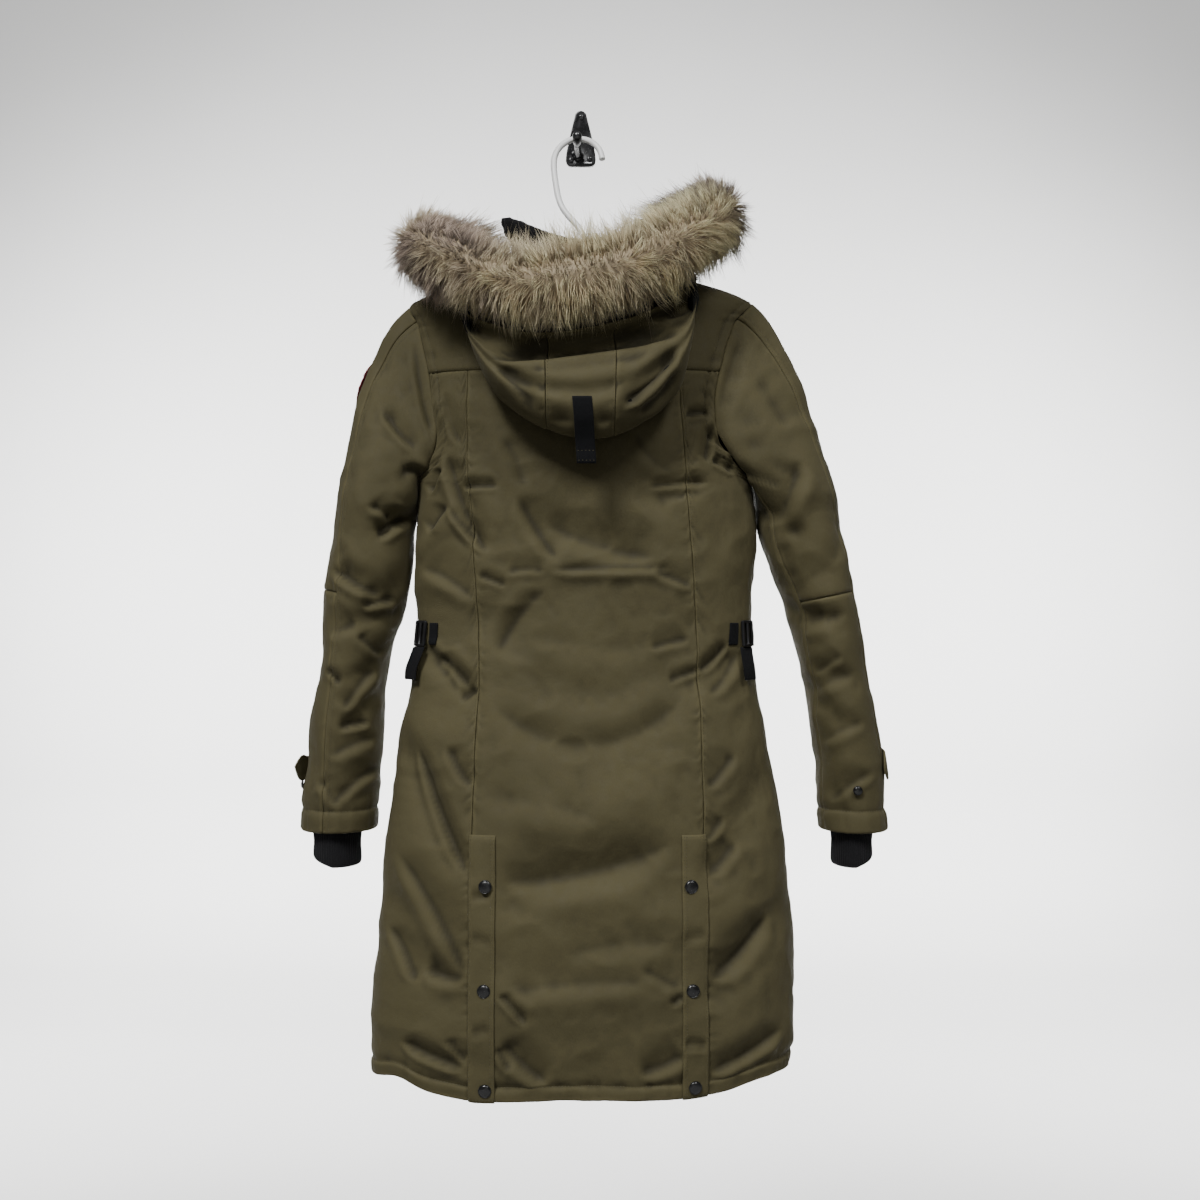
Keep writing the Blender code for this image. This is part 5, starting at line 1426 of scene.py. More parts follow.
def build_sleeves():
    """Each sleeve's main panel and its two elbow panels."""
    gap = SEAM_GAP * 0.65 / 50 * 180 / pi
    cap = np.concatenate([[0, 0.006, 0.013, 0.022, 0.034], np.linspace(0.05, 1, 66)])
    heights = np.linspace(UPPER_ARM, ELBOW_SEAM, 29)[1:]
    near_cuff = SLEEVE_HEM + np.array([29, 27.3, 26, 24.7, 23, 18, 13, 8.5, 5.5, 3.2, 1.6, 0.7, 0])
    below = np.linspace(ELBOW_SEAM, near_cuff[0], 78)[1:-1]
    rows = np.concatenate([cap, sleeve_station(np.concatenate([heights, below, near_cuff]))])
    elbow = sleeve_station(ELBOW_SEAM)
    # The areas of the main, upper and lower panels, in square metres
    areas = {
        "left": (0.118, 0.0396, 0.0266),
        "right": (0.131, 0.0322, 0.0256),
    }
    split = 0.15 / (UPPER_ARM - SLEEVE_HEM)
    for side, name in ((-1, "left"), (1, "right")):
        skin = partial(fine_sleeve, side)

        def grid(stations, first, last, width, pitch):
            ends = [SLEEVE_SEAMS.read(f"{name}_{end}", stations)[:, None] for end in (first, last)]
            turns = 360 if first == "last" else 0
            share = spread(width, pitch)
            u = (ends[0] + gap) * (1 - share) + (ends[1] + turns - gap) * share
            return u, across_levels(stations, share)

        main = {
            "low": Seam(seed=50, roll=0.7, pucker=0.6, reach=9.0, pitch=5.0, bulge=1.8),
            "high": Seam(seed=51, **CUFF_HEM),
            "left": Seam(seed=52, roll=1.0, pucker=0.3, rows=(2.2, 7.0)),
            "right": Seam(seed=53, roll=1.0, pucker=0.3, rows=(2.2, 7.0)),
        }
        area_main, area_upper, area_lower = areas[name]
        sew(f"sleeve_{name}_main", skin, *grid(rows, "last", "first", 240.0, 3.5), main,
            flat=(0.26, 0.65), area=area_main)
        sides = {
            "left": Seam(seed=54, roll=1.0, pucker=0.3),
            "right": Seam(seed=55, roll=1.0, pucker=0.3),
        }
        upper, lower = rows[rows <= elbow + 1e-6].copy(), rows[rows >= elbow - 1e-6].copy()
        upper[-1] -= split
        lower[0] += split
        cap_seam = Seam(seed=50, roll=0.7, pucker=0.6, reach=9.0, bulge=1.8)
        top = {"low": cap_seam, "high": Seam(seed=56, rows=(2.2,)), **sides}
        low = {"low": Seam(seed=56), "high": Seam(seed=51, **CUFF_HEM), **sides}
        sew(f"sleeve_{name}_elbow_upper", skin, *grid(upper, "first", "last", 95.0, 3.5), top,
            flat=(0.12, 0.36), area=area_upper)
        sew(f"sleeve_{name}_elbow_lower", skin, *grid(lower, "first", "last", 95.0, 3.5), low,
            flat=(0.11, 0.29), area=area_lower)


def build_cuffs():
    """The ribbed cuffs, whose upper ends lie inside the sleeves."""
    rows = Table(
        "z half_width half_depth lift held",
        (-921, 28.5, 35.0, 1.0, 0.0),
        (-912, 28.5, 36.0, 0.7, 0.0),
        (-890, 28.0, 37.0, 0.2, 0.0),
        (-866, 30.0, 38.5, 0.0, 0.35),
        (-846, 33.0, 40.0, 0.0, 1.0),
    )
    ribs = settings().rib_count
    for side, name in ((-1, "left"), (1, "right")):
        table = SLEEVE_RIGHT if side > 0 else SLEEVE_LEFT
        middle = np.array([table.read("x", SLEEVE_HEM) - 2.0, table.read("y", SLEEVE_HEM), 0])
        narrow = 0.86 if side > 0 else 1.0

        def skin(u, v, out=0.0):
            across, rear = np.cos(np.radians(u)), np.sin(np.radians(u))
            x = middle[0] + side * (rows.read("half_width", v) * narrow + out) * across
            y = middle[1] - (rows.read("half_depth", v) + out) * rear
            lift = rows.read("lift", v) * 9 * np.clip(across, 0, 1)
            free = np.stack([x, y, v + lift], -1)
            held = rows.read("held", v)[..., None]
            inside = sleeve(side, u, sleeve_station(v), np.asarray(out) - BODY_WALL - 1.2)
            return free * (1 - held) + held * inside

        def ribbed(u, v, out=0.0):
            wave = np.cos(np.radians(u) * ribs)
            return skin(u, v, out + 0.42 * wave * np.clip((v + 921) / 4, 0.2, 1))

        turns = np.arange(0, 360, 360 / (ribs * 4))
        heights = np.concatenate([[-921, -920, -918.5], np.linspace(-916, -846, 10)])
        u, v = np.meshgrid(turns, heights)
        seams = {"low": Seam(roll=0.6, pucker=0.0, bulge=0.6)}
        sew(f"rib_cuff_{name}", ribbed, u, v, seams, KNIT_WALL, (0.215, 0.075), slot="black_rib",
            materials=(MATERIALS["rib"],), closed=True, rests_on=(f"sleeve_{name}_main_cloth",))


def build_tabs():
    """The tabs that lie round the cuffs, with one round end each."""
    for side, name in ((-1, "left"), (1, "right")):
        tab = CUFF_TABS[name]
        turns = np.linspace(tab.station[0], tab.station[-1], 40)
        share = np.concatenate([[-1, -0.93, -0.84], np.linspace(-0.7, 0.7, 9), [0.84, 0.93, 1]])
        round_end = np.clip((tab.station[-1] - turns) / 9.0, 0, 1)
        half = tab.read("half_height", turns) * np.sqrt(np.clip(1 - (1 - round_end) ** 2, 0.08, 1))
        down = sleeve_station(tab.read("z", turns)[:, None] + half[:, None] * share)
        lift = np.repeat(tab.read("lift", turns)[:, None], len(share), 1)

        def skin(u, v, out=0.0):
            return sleeve(side, u, v, lift + CLOSE_GAP + 1.0 + out)

        u = np.repeat(turns[:, None], len(share), 1)
        edge = dict(roll=0.6, pucker=0.12, reach=4.0, pitch=5.0, rows=(2.0,), bulge=0.5)
        seams = {where: Seam(seed=61, **edge) for where in ("left", "right", "high")}
        sew(f"cuff_tab_{name}", skin, u, down, seams, FLAP_WALL, (0.03, 0.08), out=FLAP_WALL,
            rests_on=(f"sleeve_{name}_main_cloth",), held="laid", materials=(MATERIALS["twill"],))


def build_collar():
    """The standing collar and the fleece that rolls over its top."""
    u, v = np.meshgrid(np.linspace(-BACK_END, BACK_END, 120), spread(52.0, 5.0))
    seams = {
        "high": Seam(seed=63, rows=(2.4,), pucker=0.4, bulge=0.6),
        "left": Seam(seed=64, rows=(2.4,), bulge=0.4),
        "right": Seam(seed=65, rows=(2.4,), bulge=0.4),
    }
    sew("collar", collar, u, v, seams, COLLAR_WALL, (0.46, 0.052), rests_on=("back_yoke_cloth",))

    radius = (COLLAR_WALL + 2 * SEAM_GAP) / 2

    def lining(turn, run, out=0.0):
        """run goes up the inside, over the collar's top and down its outside."""
        height = COLLAR.read("height", turn)
        top = height * 1.06
        angle = np.clip((run - top) / radius, 0, pi)
        beyond = np.clip(run - top - pi * radius, 0, None)
        out = out + 1.2 * noise_2d(turn / 3.4, run / 4.6, 66)
        up = np.minimum(run, top) + (radius - out) * np.sin(angle) - beyond
        offset = -COLLAR_WALL - SEAM_GAP + radius - (radius - out) * np.cos(angle)
        return collar(turn, up / height, offset)

    turns, share = np.linspace(-BACK_END, BACK_END, 150), np.linspace(0, 1, 26)
    height = COLLAR.read("height", turns) * 1.06 + pi * radius + 13.0
    u, v = np.repeat(turns[None, :], len(share), 0), share[:, None] * height[None, :]
    seams = {"high": Seam(seed=67, roll=0.4, pucker=0.5, bulge=1.0)}
    sew("collar_lining", lining, u, v, seams, FLEECE_WALL, (0.44, 0.075), slot="black_fleece",
        materials=(MATERIALS["fleece"],), rests_on=("collar_cloth",))


# Folds of the hood's pouch: x0, z0, x1, z1, bow, width, height
HOOD_CREASES = (
    (-103, -328, 116, -298, -6, 8, -4.4),
    (-98, -318, 108, -288, -6, 9, -2.4),
    (76, -284, 126, -268, 2, 5, -3.0),
    (50, -386, 114, -314, -6, 6, -4.4),
    (68, -392, 114, -342, -6, 5, -2.6),
    (-92, -338, -50, -390, 4, 6, -1.6),
    (-34, -396, 44, -398, -4, 7, -1.4),
)


def fine_hood(s, q, out=0.0):
    """The hood with its creases, which leave out the place under its strap."""
    s, q = np.broadcast_arrays(np.asarray(s, float), np.asarray(q, float))
    point = hood_shape(s, q)
    facing = np.clip((0.55 - q) * 6, 0, 1)
    relief = creased(point, facing, HOOD_CREASES)
    relief = relief + padding(point[..., 0] * 1.2, point[..., 2] * 1.2 + q * 100, 17) * 0.3
    under_strap = np.exp(-(((point[..., 0] - 7) / 17) ** 4))
    under_strap = under_strap * np.clip((-345 - point[..., 2]) / 15, 0, 1)
    ends = np.clip(q * 14, 0, 1) * np.clip((1 - q) * 10, 0, 1) * (1 - under_strap)
    return hood(s, q, out + relief * ends * settings().crease_depth * 0.8)


def build_hood():
    """The hood's two sides and its centre strip."""
    gap = SEAM_GAP * 0.75 / 55
    down = np.concatenate([[0, 0.004, 0.01, 0.018], np.linspace(0.03, 0.985, 120), [0.993, 1.0]])
    # The visible strip's width in millimetres, and the sheet's width, length and area in metres
    cuts = {
        "left": (245.0, 0.26, 0.27, 0.042),
        "center": (62.0, 0.075, 0.44, 0.029),
        "right": (245.0, 0.26, 0.27, 0.052),
    }
    for name, (first, last) in HOOD_SEAMS.items():
        visible, width, length, area = cuts[name]
        stations = first + gap + (last - first - 2 * gap) * spread(visible, 3.6)
        u, v = np.meshgrid(stations, down)
        edge = dict(roll=0.5, pucker=0.6, reach=8.0, rows=(2.3,) if name == "center" else ())
        seams = {
            "low": Seam(seed=71, roll=0.8, bulge=0.8),
            "high": Seam(seed=72),
            "left": Seam(seed=73, **edge),
            "right": Seam(seed=74, **edge),
        }
        sew(f"hood_{name}", fine_hood, u, v, seams, HOOD_WALL, (width, length), area,
            rests_on=("back_yoke_cloth",), held="draped")


# ---- Fur ----


def strand_mesh(name, root, direction, length, width, bend, tone, own, rings):
    """Tapered three-sided hairs, closed at the root, each bent towards its tip. None go through the
    plane of the wall."""
    count = len(root)
    side = unit(np.cross(direction, np.array([0.31, 0.22, 0.92])))
    up = np.cross(side, direction)
    stations = np.linspace(0, 1, rings + 1)[:-1]
    points = []
    for at in stations:
        middle = root + direction * (length * at)[:, None] + bend * at**2
        radius = width * (0.5 * (1 - at) ** 0.6)
        for k in range(3):
            angle = 2 * pi * k / 3
            points.append(middle + (side * cos(angle) + up * sin(angle)) * radius[:, None])
    points.append(root + direction * length[:, None] + bend)
    each = rings * 3 + 1
    points = np.stack(points, 1).reshape(-1, 3)
    points[:, 1] = np.minimum(points[:, 1], -OFF_WALL_GAP)
    base = (np.arange(count) * each)[:, None]
    faces = [base + np.array([0, 2, 1])]
    for ring in range(rings - 1):
        for k in range(3):
            a, b = ring * 3 + k, ring * 3 + (k + 1) % 3
            faces.append(base + np.array([a, b, b + 3]))
            faces.append(base + np.array([a, b + 3, a + 3]))
    for k in range(3):
        a, b = (rings - 1) * 3 + k, (rings - 1) * 3 + (k + 1) % 3
        faces.append(base + np.array([a, b, each - 1]))
    along = np.append(np.repeat(stations, 3), 1.0)
    uv = np.stack([np.tile(along, count), np.repeat(own, each)], -1)
    tones = np.repeat(tone, each)
    mesh = raw_mesh(name, points, [np.concatenate(faces)], uv, tones=tones)
    settle(link(name, mesh, MATERIALS["fur"]), "coyote_fur")


def fur_core(s):
    """Radius of the strip under the hair, drawn in towards both ends."""
    end = np.clip(np.minimum(s, RUFF_END - s) / 0.75, 0, 1)
    return RUFF.read("radius", s) * FUR_CORE_SHARE * np.sqrt(1 - (1 - end) ** 2 * 0.96)


def build_fur_core():
    """The strip that the hair grows from, as a dark soft roll with rounded ends."""
    inner = np.linspace(0, RUFF_END, 90)
    points, radii = list(RUFF.point(inner)), list(fur_core(inner))
    for end in (0, -1):
        before = 1 if end == 0 else -2
        along = unit(points[end] - points[before])
        middle, radius = points[end], radii[end]
        for angle in (20, 40, 58, 74, 84):
            place = middle + along * radius * sin(radians(angle))
            where = 0 if end == 0 else len(points)
            points.insert(where, place)
            radii.insert(where, radius * cos(radians(angle)))
    points, radii = np.array(points), np.array(radii)
    along = unit(np.gradient(points, axis=0))
    down = unit(np.array([0, 0, -1.0]) + along * along[:, 2:3])
    inward = np.cross(along, down)
    turns = np.radians(np.arange(0, 360, 10))[None, :, None]
    ring = inward[:, None] * np.cos(turns) + down[:, None] * np.sin(turns)
    grid = points[:, None] + ring * radii[:, None, None]
    rows, columns = grid.shape[:2]
    index = np.arange(rows * columns).reshape(rows, columns)
    after = np.roll(index, -1, 1)
    quads = np.stack([index[:-1], index[1:], after[1:], after[:-1]], -1).reshape(-1, 4)
    caps = [index[0][None, :], index[-1][None, ::-1]]
    uv = np.stack([np.full(rows * columns, 0.15), np.full(rows * columns, 0.3)], -1)
    tones = np.full(rows * columns, 0.5)
    mesh = raw_mesh("fur_core", grid.reshape(-1, 3), [quads, *caps], uv, tones=tones)
    obj = link("fur_core", mesh, MATERIALS["fur"])
    bm = bmesh.new()
    bm.from_mesh(mesh)
    bmesh.ops.recalc_face_normals(bm, faces=bm.faces)
    bm.to_mesh(mesh)
    bm.free()
    settle(obj, "coyote_fur", "fur_ruff")


def fur_places(random, count):
    """Roots spread evenly over the core: station, angle round it and radius."""
    table = np.linspace(0, RUFF_END, 400)
    step = np.linalg.norm(np.diff(RUFF.point(table), axis=0), axis=1)
    run = np.concatenate([[0], np.cumsum(step * fur_core((table[1:] + table[:-1]) / 2))])
    s = np.interp(random.random(count) * run[-1], run, table)
    return s, random.random(count) * 360.0 - 180.0


def fur_roots(s, phi):
    """Root point, outward direction, and the direction round and along the core."""
    middle, along, inward, down = ruff_frame(s)
    out, up = -inward, -down
    turn = np.radians(phi)[:, None]
    radial = out * np.cos(turn) + up * np.sin(turn)
    around = -out * np.sin(turn) + up * np.cos(turn)
    return middle + radial * fur_core(s)[:, None], radial, around, along


def build_fur():
    """The strip and the layers of hair on it: short wool all round, and long hair in three parts."""
    build_fur_core()
    random = np.random.default_rng(FUR_SEED)
    wool, long_hair = (2, 0.66, 0.94, 0.95, 0.60), (3, 0.80, 1.32, 0.80, 0.88)
    layers = (
        # name, share of the strands, places tried for each, first and last station, kind of hair
        ("fur_under", 0.34, 1, -1, 13, wool),
        ("fur_left", 0.23, 3, -1, 4, long_hair),
        ("fur_center", 0.20, 3, 4, 8, long_hair),
        ("fur_right", 0.23, 3, 8, 13, long_hair),
    )
    for name, share, tried, first, last, hair in layers:
        count = int(settings().fur_strands * share)
        s, phi = fur_places(random, count * tried)
        keep = (s >= first) & (s < last)
        comb(name, random, s[keep][:count], phi[keep][:count], *hair)


def parting(s):
    """The angle round the ruff from which hair falls down on one side and stands up on the other."""
    return 18.0 + 16.0 * noise(s * 1.1, 91) + 8.0 * noise(s * 3.3, 92)


def standing(s, phi):
    """How upright the hair is on top of the ruff's middle."""
    on_top = np.clip((phi - 30) / 40, 0, 1) * np.clip((150 - phi) / 30, 0, 1)
    return np.exp(-(((s - 5.8) / 1.7) ** 2)) * on_top


def past_parting(s, phi):
    """The angle from the parting, over 0 where the hair stands up."""
    return (phi - parting(s) + 180) % 360 - 180


def flow(s, phi, radial, around, along):
    """The lie of the hair: away from the parting, drooping a little, spread out at the ends."""
    from_parting = past_parting(s, phi)
    lean = 1.15 * np.clip(from_parting / 40.0, -1, 1)
    lean = lean * np.clip((150 - np.abs(from_parting)) / 60, 0, 1) * (1 - 0.8 * standing(s, phi))
    ends = np.clip((s - 10.8) / 1.1, 0, 1) ** 2 - np.clip((1.2 - s) / 1.1, 0, 1) ** 2
    swirl = 0.30 * noise(s * 1.7, 93) + 0.55 * noise_2d(s * 2.6, phi / 34, 94)
    turned = lean + 0.45 * noise_2d(s * 2.6 + 40, phi / 34, 105)
    direction = radial + around * turned[:, None] + along * (ends * 2.2 + swirl)[:, None]
    return unit(direction + np.array([0, 0, -0.16]))


def comb(name, random, s, phi, rings, shortest, longest, width, clump):
    """One layer of hair. Each hair has its own length, lie and darkness, and shares its lock's tip.
    Hairs that hang below the parting get painted light.
    """
    lock_s, lock_phi = 0.19, 14.0
    guard_share, guard_length, guard_width = 0.035, 1.5, 0.7
    sunk = 1.5
    count = len(s)
    root, radial, around, along = fur_roots(s, phi)
    direction = flow(s, phi, radial, around, along)
    reach = RUFF.read("radius", s) - fur_core(s)
    from_parting = past_parting(s, phi)
    hanging = np.clip(-from_parting / 60.0, 0, 1) * np.clip((170 + from_parting) / 50, 0, 1)
    longer = 1.0 + 0.42 * hanging
    lean = np.clip(np.sum(direction * radial, -1), 0.35, 1)
    length = reach / lean**0.55 * random.uniform(shortest, longest, count) * longer
    length = length * (1 + 0.22 * noise_2d(s * 3.1 + 7, phi / 26, 106))
    guard = (random.random(count) < guard_share) & (rings > 2)
    length = length * np.where(guard, guard_length, 1.0) * (1 + 1.15 * standing(s, phi))
    # Hairs gather into locks, whose tips draw together
    cell_s = np.floor(s / lock_s + 0.35 * noise(phi / 17, 95))
    cell_phi = np.floor(phi / lock_phi + 0.5 * hashed(cell_s, 96))
    centre_s = (cell_s + 0.25 + 0.5 * hashed(cell_s, cell_phi, 97)) * lock_s
    centre_s = np.clip(centre_s, 0, RUFF_END)
    centre_phi = cell_phi + 0.25 + 0.5 * hashed(cell_s, cell_phi, 98) - 0.5 * hashed(cell_s, 96)
    centre_phi = centre_phi * lock_phi
    lock_root, lock_radial, lock_around, lock_along = fur_roots(centre_s, centre_phi)
    lock_way = flow(centre_s, centre_phi, lock_radial, lock_around, lock_along)
    stray = [hashed(cell_s, cell_phi, key) * 2 - 1 for key in (99, 100, 101)]
    strayed = lock_along * (0.34 * stray[0])[:, None]
    lock_way = unit(lock_way + strayed + lock_around * (0.30 * stray[1])[:, None])
    lock_tip = lock_root + lock_way * (length * (1 + 0.12 * stray[2]))[:, None]
    own = unit(direction + random.normal(0, 0.16, (count, 3)))
    tip = root + own * length[:, None]
    drawn = clump * random.uniform(0.6, 1.15, count) * np.where(guard, 0.35, 1.0)
    bend = (lock_tip - tip) * drawn[:, None] + random.normal(0, 0.9, (count, 3))
    grey = 0.5 + 0.7 * noise(s * 0.9 + 0.4, 102) + 0.6 * noise_2d(s * 2.3, phi / 40, 103)
    sides = np.clip((np.abs(s - 6.2) - 1.3) / 2.2, 0, 1)
    sides = sides * (0.9 + 0.5 * np.clip((s - 8) / 1.5, 0, 1))
    tone = np.clip(grey * 0.7 + sides - 0.42 + 0.2 * np.clip(from_parting / 60, 0, 1), 0, 1)
    hair_dark_and_painted_fill = random.beta(1.2, 2.4, count) * 0.6 + 0.8 * hashed(cell_s, cell_phi, 104) ** 1.7
    # Painted light: hairs that hang below the parting in the middle lie in shade, and are made lighter
    # and less streaked
    below = np.clip(-from_parting / 40, 0, 1) * (1 - sides)
    hair_dark_and_painted_fill = hair_dark_and_painted_fill * (1 - 0.8 * below) * np.interp(s, (2, 4, 8, 10), (0.75, 1, 1, 1.35))
    streak = np.clip(noise_2d(s * 1.9 + 20, phi / 24, 107) * 1.8, 0, 1) * (1 - 0.6 * below)
    hair_dark_and_painted_fill = hair_dark_and_painted_fill + 0.6 * np.clip((s - 7.2) / 2, 0, 1) + 0.45 * streak
    hair_dark_and_painted_fill = np.where(guard, 2.0, hair_dark_and_painted_fill)
    thick = width * random.uniform(0.7, 1.25, count) * np.where(guard, guard_width, 1.0)
    strand_mesh(name, root - radial * sunk, own, length, thick, bend, tone, hair_dark_and_painted_fill, rings)


# ---- Hardware ----


class Bench:
    """Shapes a primitive in edit mode, one selection at a time. Sizes are in millimetres."""

    def __init__(self, name, kind, **values):
        bpy.ops.object.select_all(action="DESELECT")
        for key in ("radius", "depth", "size"):
            if key in values:
                values[key] *= MM
        getattr(bpy.ops.mesh, f"primitive_{kind}_add")(**values)
        self.object = bpy.context.object
        self.object.name = self.object.data.name = name
        bpy.ops.object.mode_set(mode="EDIT")

    def pick(self, kind, test):
        """Selects the faces, edges or vertices whose middle passes a test."""
        bpy.ops.mesh.select_mode(type={"faces": "FACE", "edges": "EDGE", "verts": "VERT"}[kind])
        bpy.ops.mesh.select_all(action="DESELECT")
        bm = bmesh.from_edit_mesh(self.object.data)
        for item in getattr(bm, kind):
            if kind == "verts":
                middle = item.co
            elif kind == "edges":
                middle = (item.verts[0].co + item.verts[1].co) / 2
            else:
                middle = item.calc_center_median()
            item.select = bool(test(middle / MM, item))
        bm.select_flush_mode()
        bmesh.update_edit_mesh(self.object.data)

    def all(self):
        bpy.ops.mesh.select_all(action="SELECT")

    def move(self, x=0.0, y=0.0, z=0.0):
        bpy.ops.transform.translate(value=(x * MM, y * MM, z * MM))

    def scale(self, x, y):
        bpy.ops.transform.resize(value=(x, y, 1.0), center_override=(0.0, 0.0, 0.0))

    def inset(self, thickness, depth=0.0):
        bpy.ops.mesh.inset(thickness=thickness * MM, depth=depth * MM)

    def extrude(self, z):
        bpy.ops.mesh.extrude_region_move(TRANSFORM_OT_translate={"value": (0.0, 0.0, z * MM)})

    def bevel(self, width, segments):
        bpy.ops.mesh.bevel(offset=width * MM, segments=segments, clamp_overlap=True)

    def done(self, material, slot, node, place, normal, smooth):
        """Ends the shaping, stands the piece where it belongs and leaves its origin at zero."""
        bpy.ops.object.mode_set(mode="OBJECT")
        obj = self.object
        z_axis = Vector(normal).normalized()
        x_axis = Vector((0, 0, 1)).cross(z_axis).normalized()
        turned = Matrix((x_axis, z_axis.cross(x_axis), z_axis)).transposed().to_4x4()
        obj.matrix_world = Matrix.Translation(Vector(place) * MM) @ turned
        bpy.ops.object.transform_apply(location=True, rotation=True, scale=True)
        bpy.ops.object.shade_smooth_by_angle(angle=radians(smooth))
        obj.data.materials.append(material)
        settle(obj, slot, node)


def laid(skin, u, v, out):
    """A point on the cloth at a height over it, and the cloth's normal there."""
    u, v = np.array([float(u)]), np.array([float(v)])
    place = skin(u, v, out)[0]
    return place, unit(skin(u, v, out + 8.0)[0] - place)


def add_snap(name, place, normal, radius=SNAP_RADIUS):
    """A press stud's cap: a domed disc with a rolled rim round a shallow step."""
    bench = Bench(name + "_cap", "cylinder", vertices=28, radius=radius, depth=1.6, end_fill_type="NGON")
    bench.all()
    bench.move(z=0.8)
    bench.pick("faces", lambda m, face: face.normal.z > 0.9)
    steps = ((0.05, 0.0), (0.05, -0.35), (0.07, 0.55), (0.14, 0.55), (0.2, 0.42), (0.22, 0.14))
    for narrower, higher in steps:
        bench.inset(radius * narrower)
        bench.move(z=higher)
    rim = radius * 0.97
    bench.pick("edges", lambda m, edge: abs(m.z - 1.6) < 0.1 and m.xy.length > rim)
    bench.bevel(0.35, 3)
    bench.pick("edges", lambda m, edge: m.z < 0.1 and m.xy.length > rim)
    bench.bevel(0.25, 2)
    bench.done(MATERIALS["snap"], "black_snap", name, place, normal, smooth=50)


def build_snaps():
    """Three studs on each vent flap, five on the storm flap and one on each cuff tab."""
    out = LAY_GAP + FLAP_WALL + 0.15
    places = {"left": (-104.5, -105.5, -104.5), "right": (128.0, 129.5, 132.0)}
    for name, row in places.items():
        for number, (x, z) in enumerate(zip(row, (-925.0, -1041.0, -1149.0)), 1):
            add_snap(f"vent_snap_{name}_{number}", *laid(fine_body, turn_at(x, z), z, out))
    for number, z in enumerate((-260.0, -440.0, -620.0, -800.0, -980.0), 1):
        add_snap(f"front_snap_{number}", *laid(fine_body, 180 - turn_at(22.0, z), z, out))
    for side, name, turn in ((-1, "left", 14.0), (1, "right", 90.0)):
        place, normal = laid(partial(fine_sleeve, side), turn, sleeve_station(-826.0), 0.3)
        add_snap(f"cuff_snap_{name}", place, normal, radius=5.6)


def add_buckle(name, place, normal):
    """A ladder buckle of moulded plastic: a frame with two slots and a raised bar between them."""
    bench = Bench(name + "_frame", "grid", x_subdivisions=5, y_subdivisions=3, size=2)
    columns, rows = (-10.5, -6.9, -2.3, 2.3, 6.9, 10.5), (-15.5, -12.5, 12.5, 15.5)
    for kept, wanted in ((0, columns), (1, rows)):
        lines = [-1 + 2 * k / (len(wanted) - 1) for k in range(len(wanted))]
        for at, goal in sorted(zip(lines, wanted), key=lambda pair: -abs(pair[1])):
            bench.pick("verts", lambda m, vert: abs(m[kept] - at) < 0.05)
            bench.move(**{"xy"[kept]: goal - at})
    bench.pick("faces", lambda m, face: 2.4 < abs(m.x) < 6.8 and abs(m.y) < 12)
    bpy.ops.mesh.delete(type="FACE")
    bench.all()
    bench.extrude(z=3.4)
    bpy.ops.mesh.select_all(action="SELECT")
    bpy.ops.mesh.normals_make_consistent(inside=False)
    bench.pick("edges", lambda m, edge: abs(m.x) > 10.3 and abs(m.y) > 15.3)
    bench.bevel(2.4, 5)
    bench.pick("edges", lambda m, edge: len(edge.link_faces) == 2 and edge.calc_face_angle() > 0.9)
    bench.bevel(0.5, 2)
    bench.pick("faces", lambda m, face: abs(m.x) < 1.9 and abs(m.y) < 12 and m.z > 3.3)
    bench.scale(x=0.8, y=0.98)
    bench.move(z=0.5)
    bench.done(MATERIALS["plastic"], "black_plastic", name, place, normal, smooth=40)


def tube(name, points, radius, material, slot, node, cyclic=False):
    """A bent tube: a curve through points with a round bevel, made into a mesh."""
    bpy.ops.object.select_all(action="DESELECT")
    bpy.ops.curve.primitive_nurbs_path_add()
    obj = bpy.context.object
    curve = obj.data
    curve.splines.clear()
    spline = curve.splines.new("NURBS")
    spline.points.add(len(points) - 1)
    spline.use_cyclic_u, spline.use_endpoint_u, spline.order_u = cyclic, not cyclic, 3
    radii = np.broadcast_to(radius, len(points))
    for knot, place, size in zip(spline.points, points, radii):
        knot.co, knot.radius = (*(Vector(place) * MM), 1.0), float(size)
    curve.resolution_u, curve.bevel_depth, curve.bevel_resolution = 6, MM, 5
    curve.use_fill_caps = not cyclic
    obj.name = name
    bpy.ops.object.convert(target="MESH")
    obj = bpy.context.object
    obj.data.name = name
    obj.data.materials.clear()
    obj.data.materials.append(material)
    bpy.ops.object.shade_smooth_by_angle(angle=radians(50))
    settle(obj, slot, node)


def ridge_height(x):
    """Height of the shoulder's ridge at x."""
    z = np.linspace(NECK_LEVEL, SHOULDER_POINT, 60)
    edge = np.where(x < 3, BODY.read("left", z), BODY.read("right", z))
    return z[np.argsort(np.abs(edge - x))[0]]


def hanger_depth(z):
    """The hanger leans with the coat: its y at a z."""
    return -29.0 + (z + 8.0) * 0.335


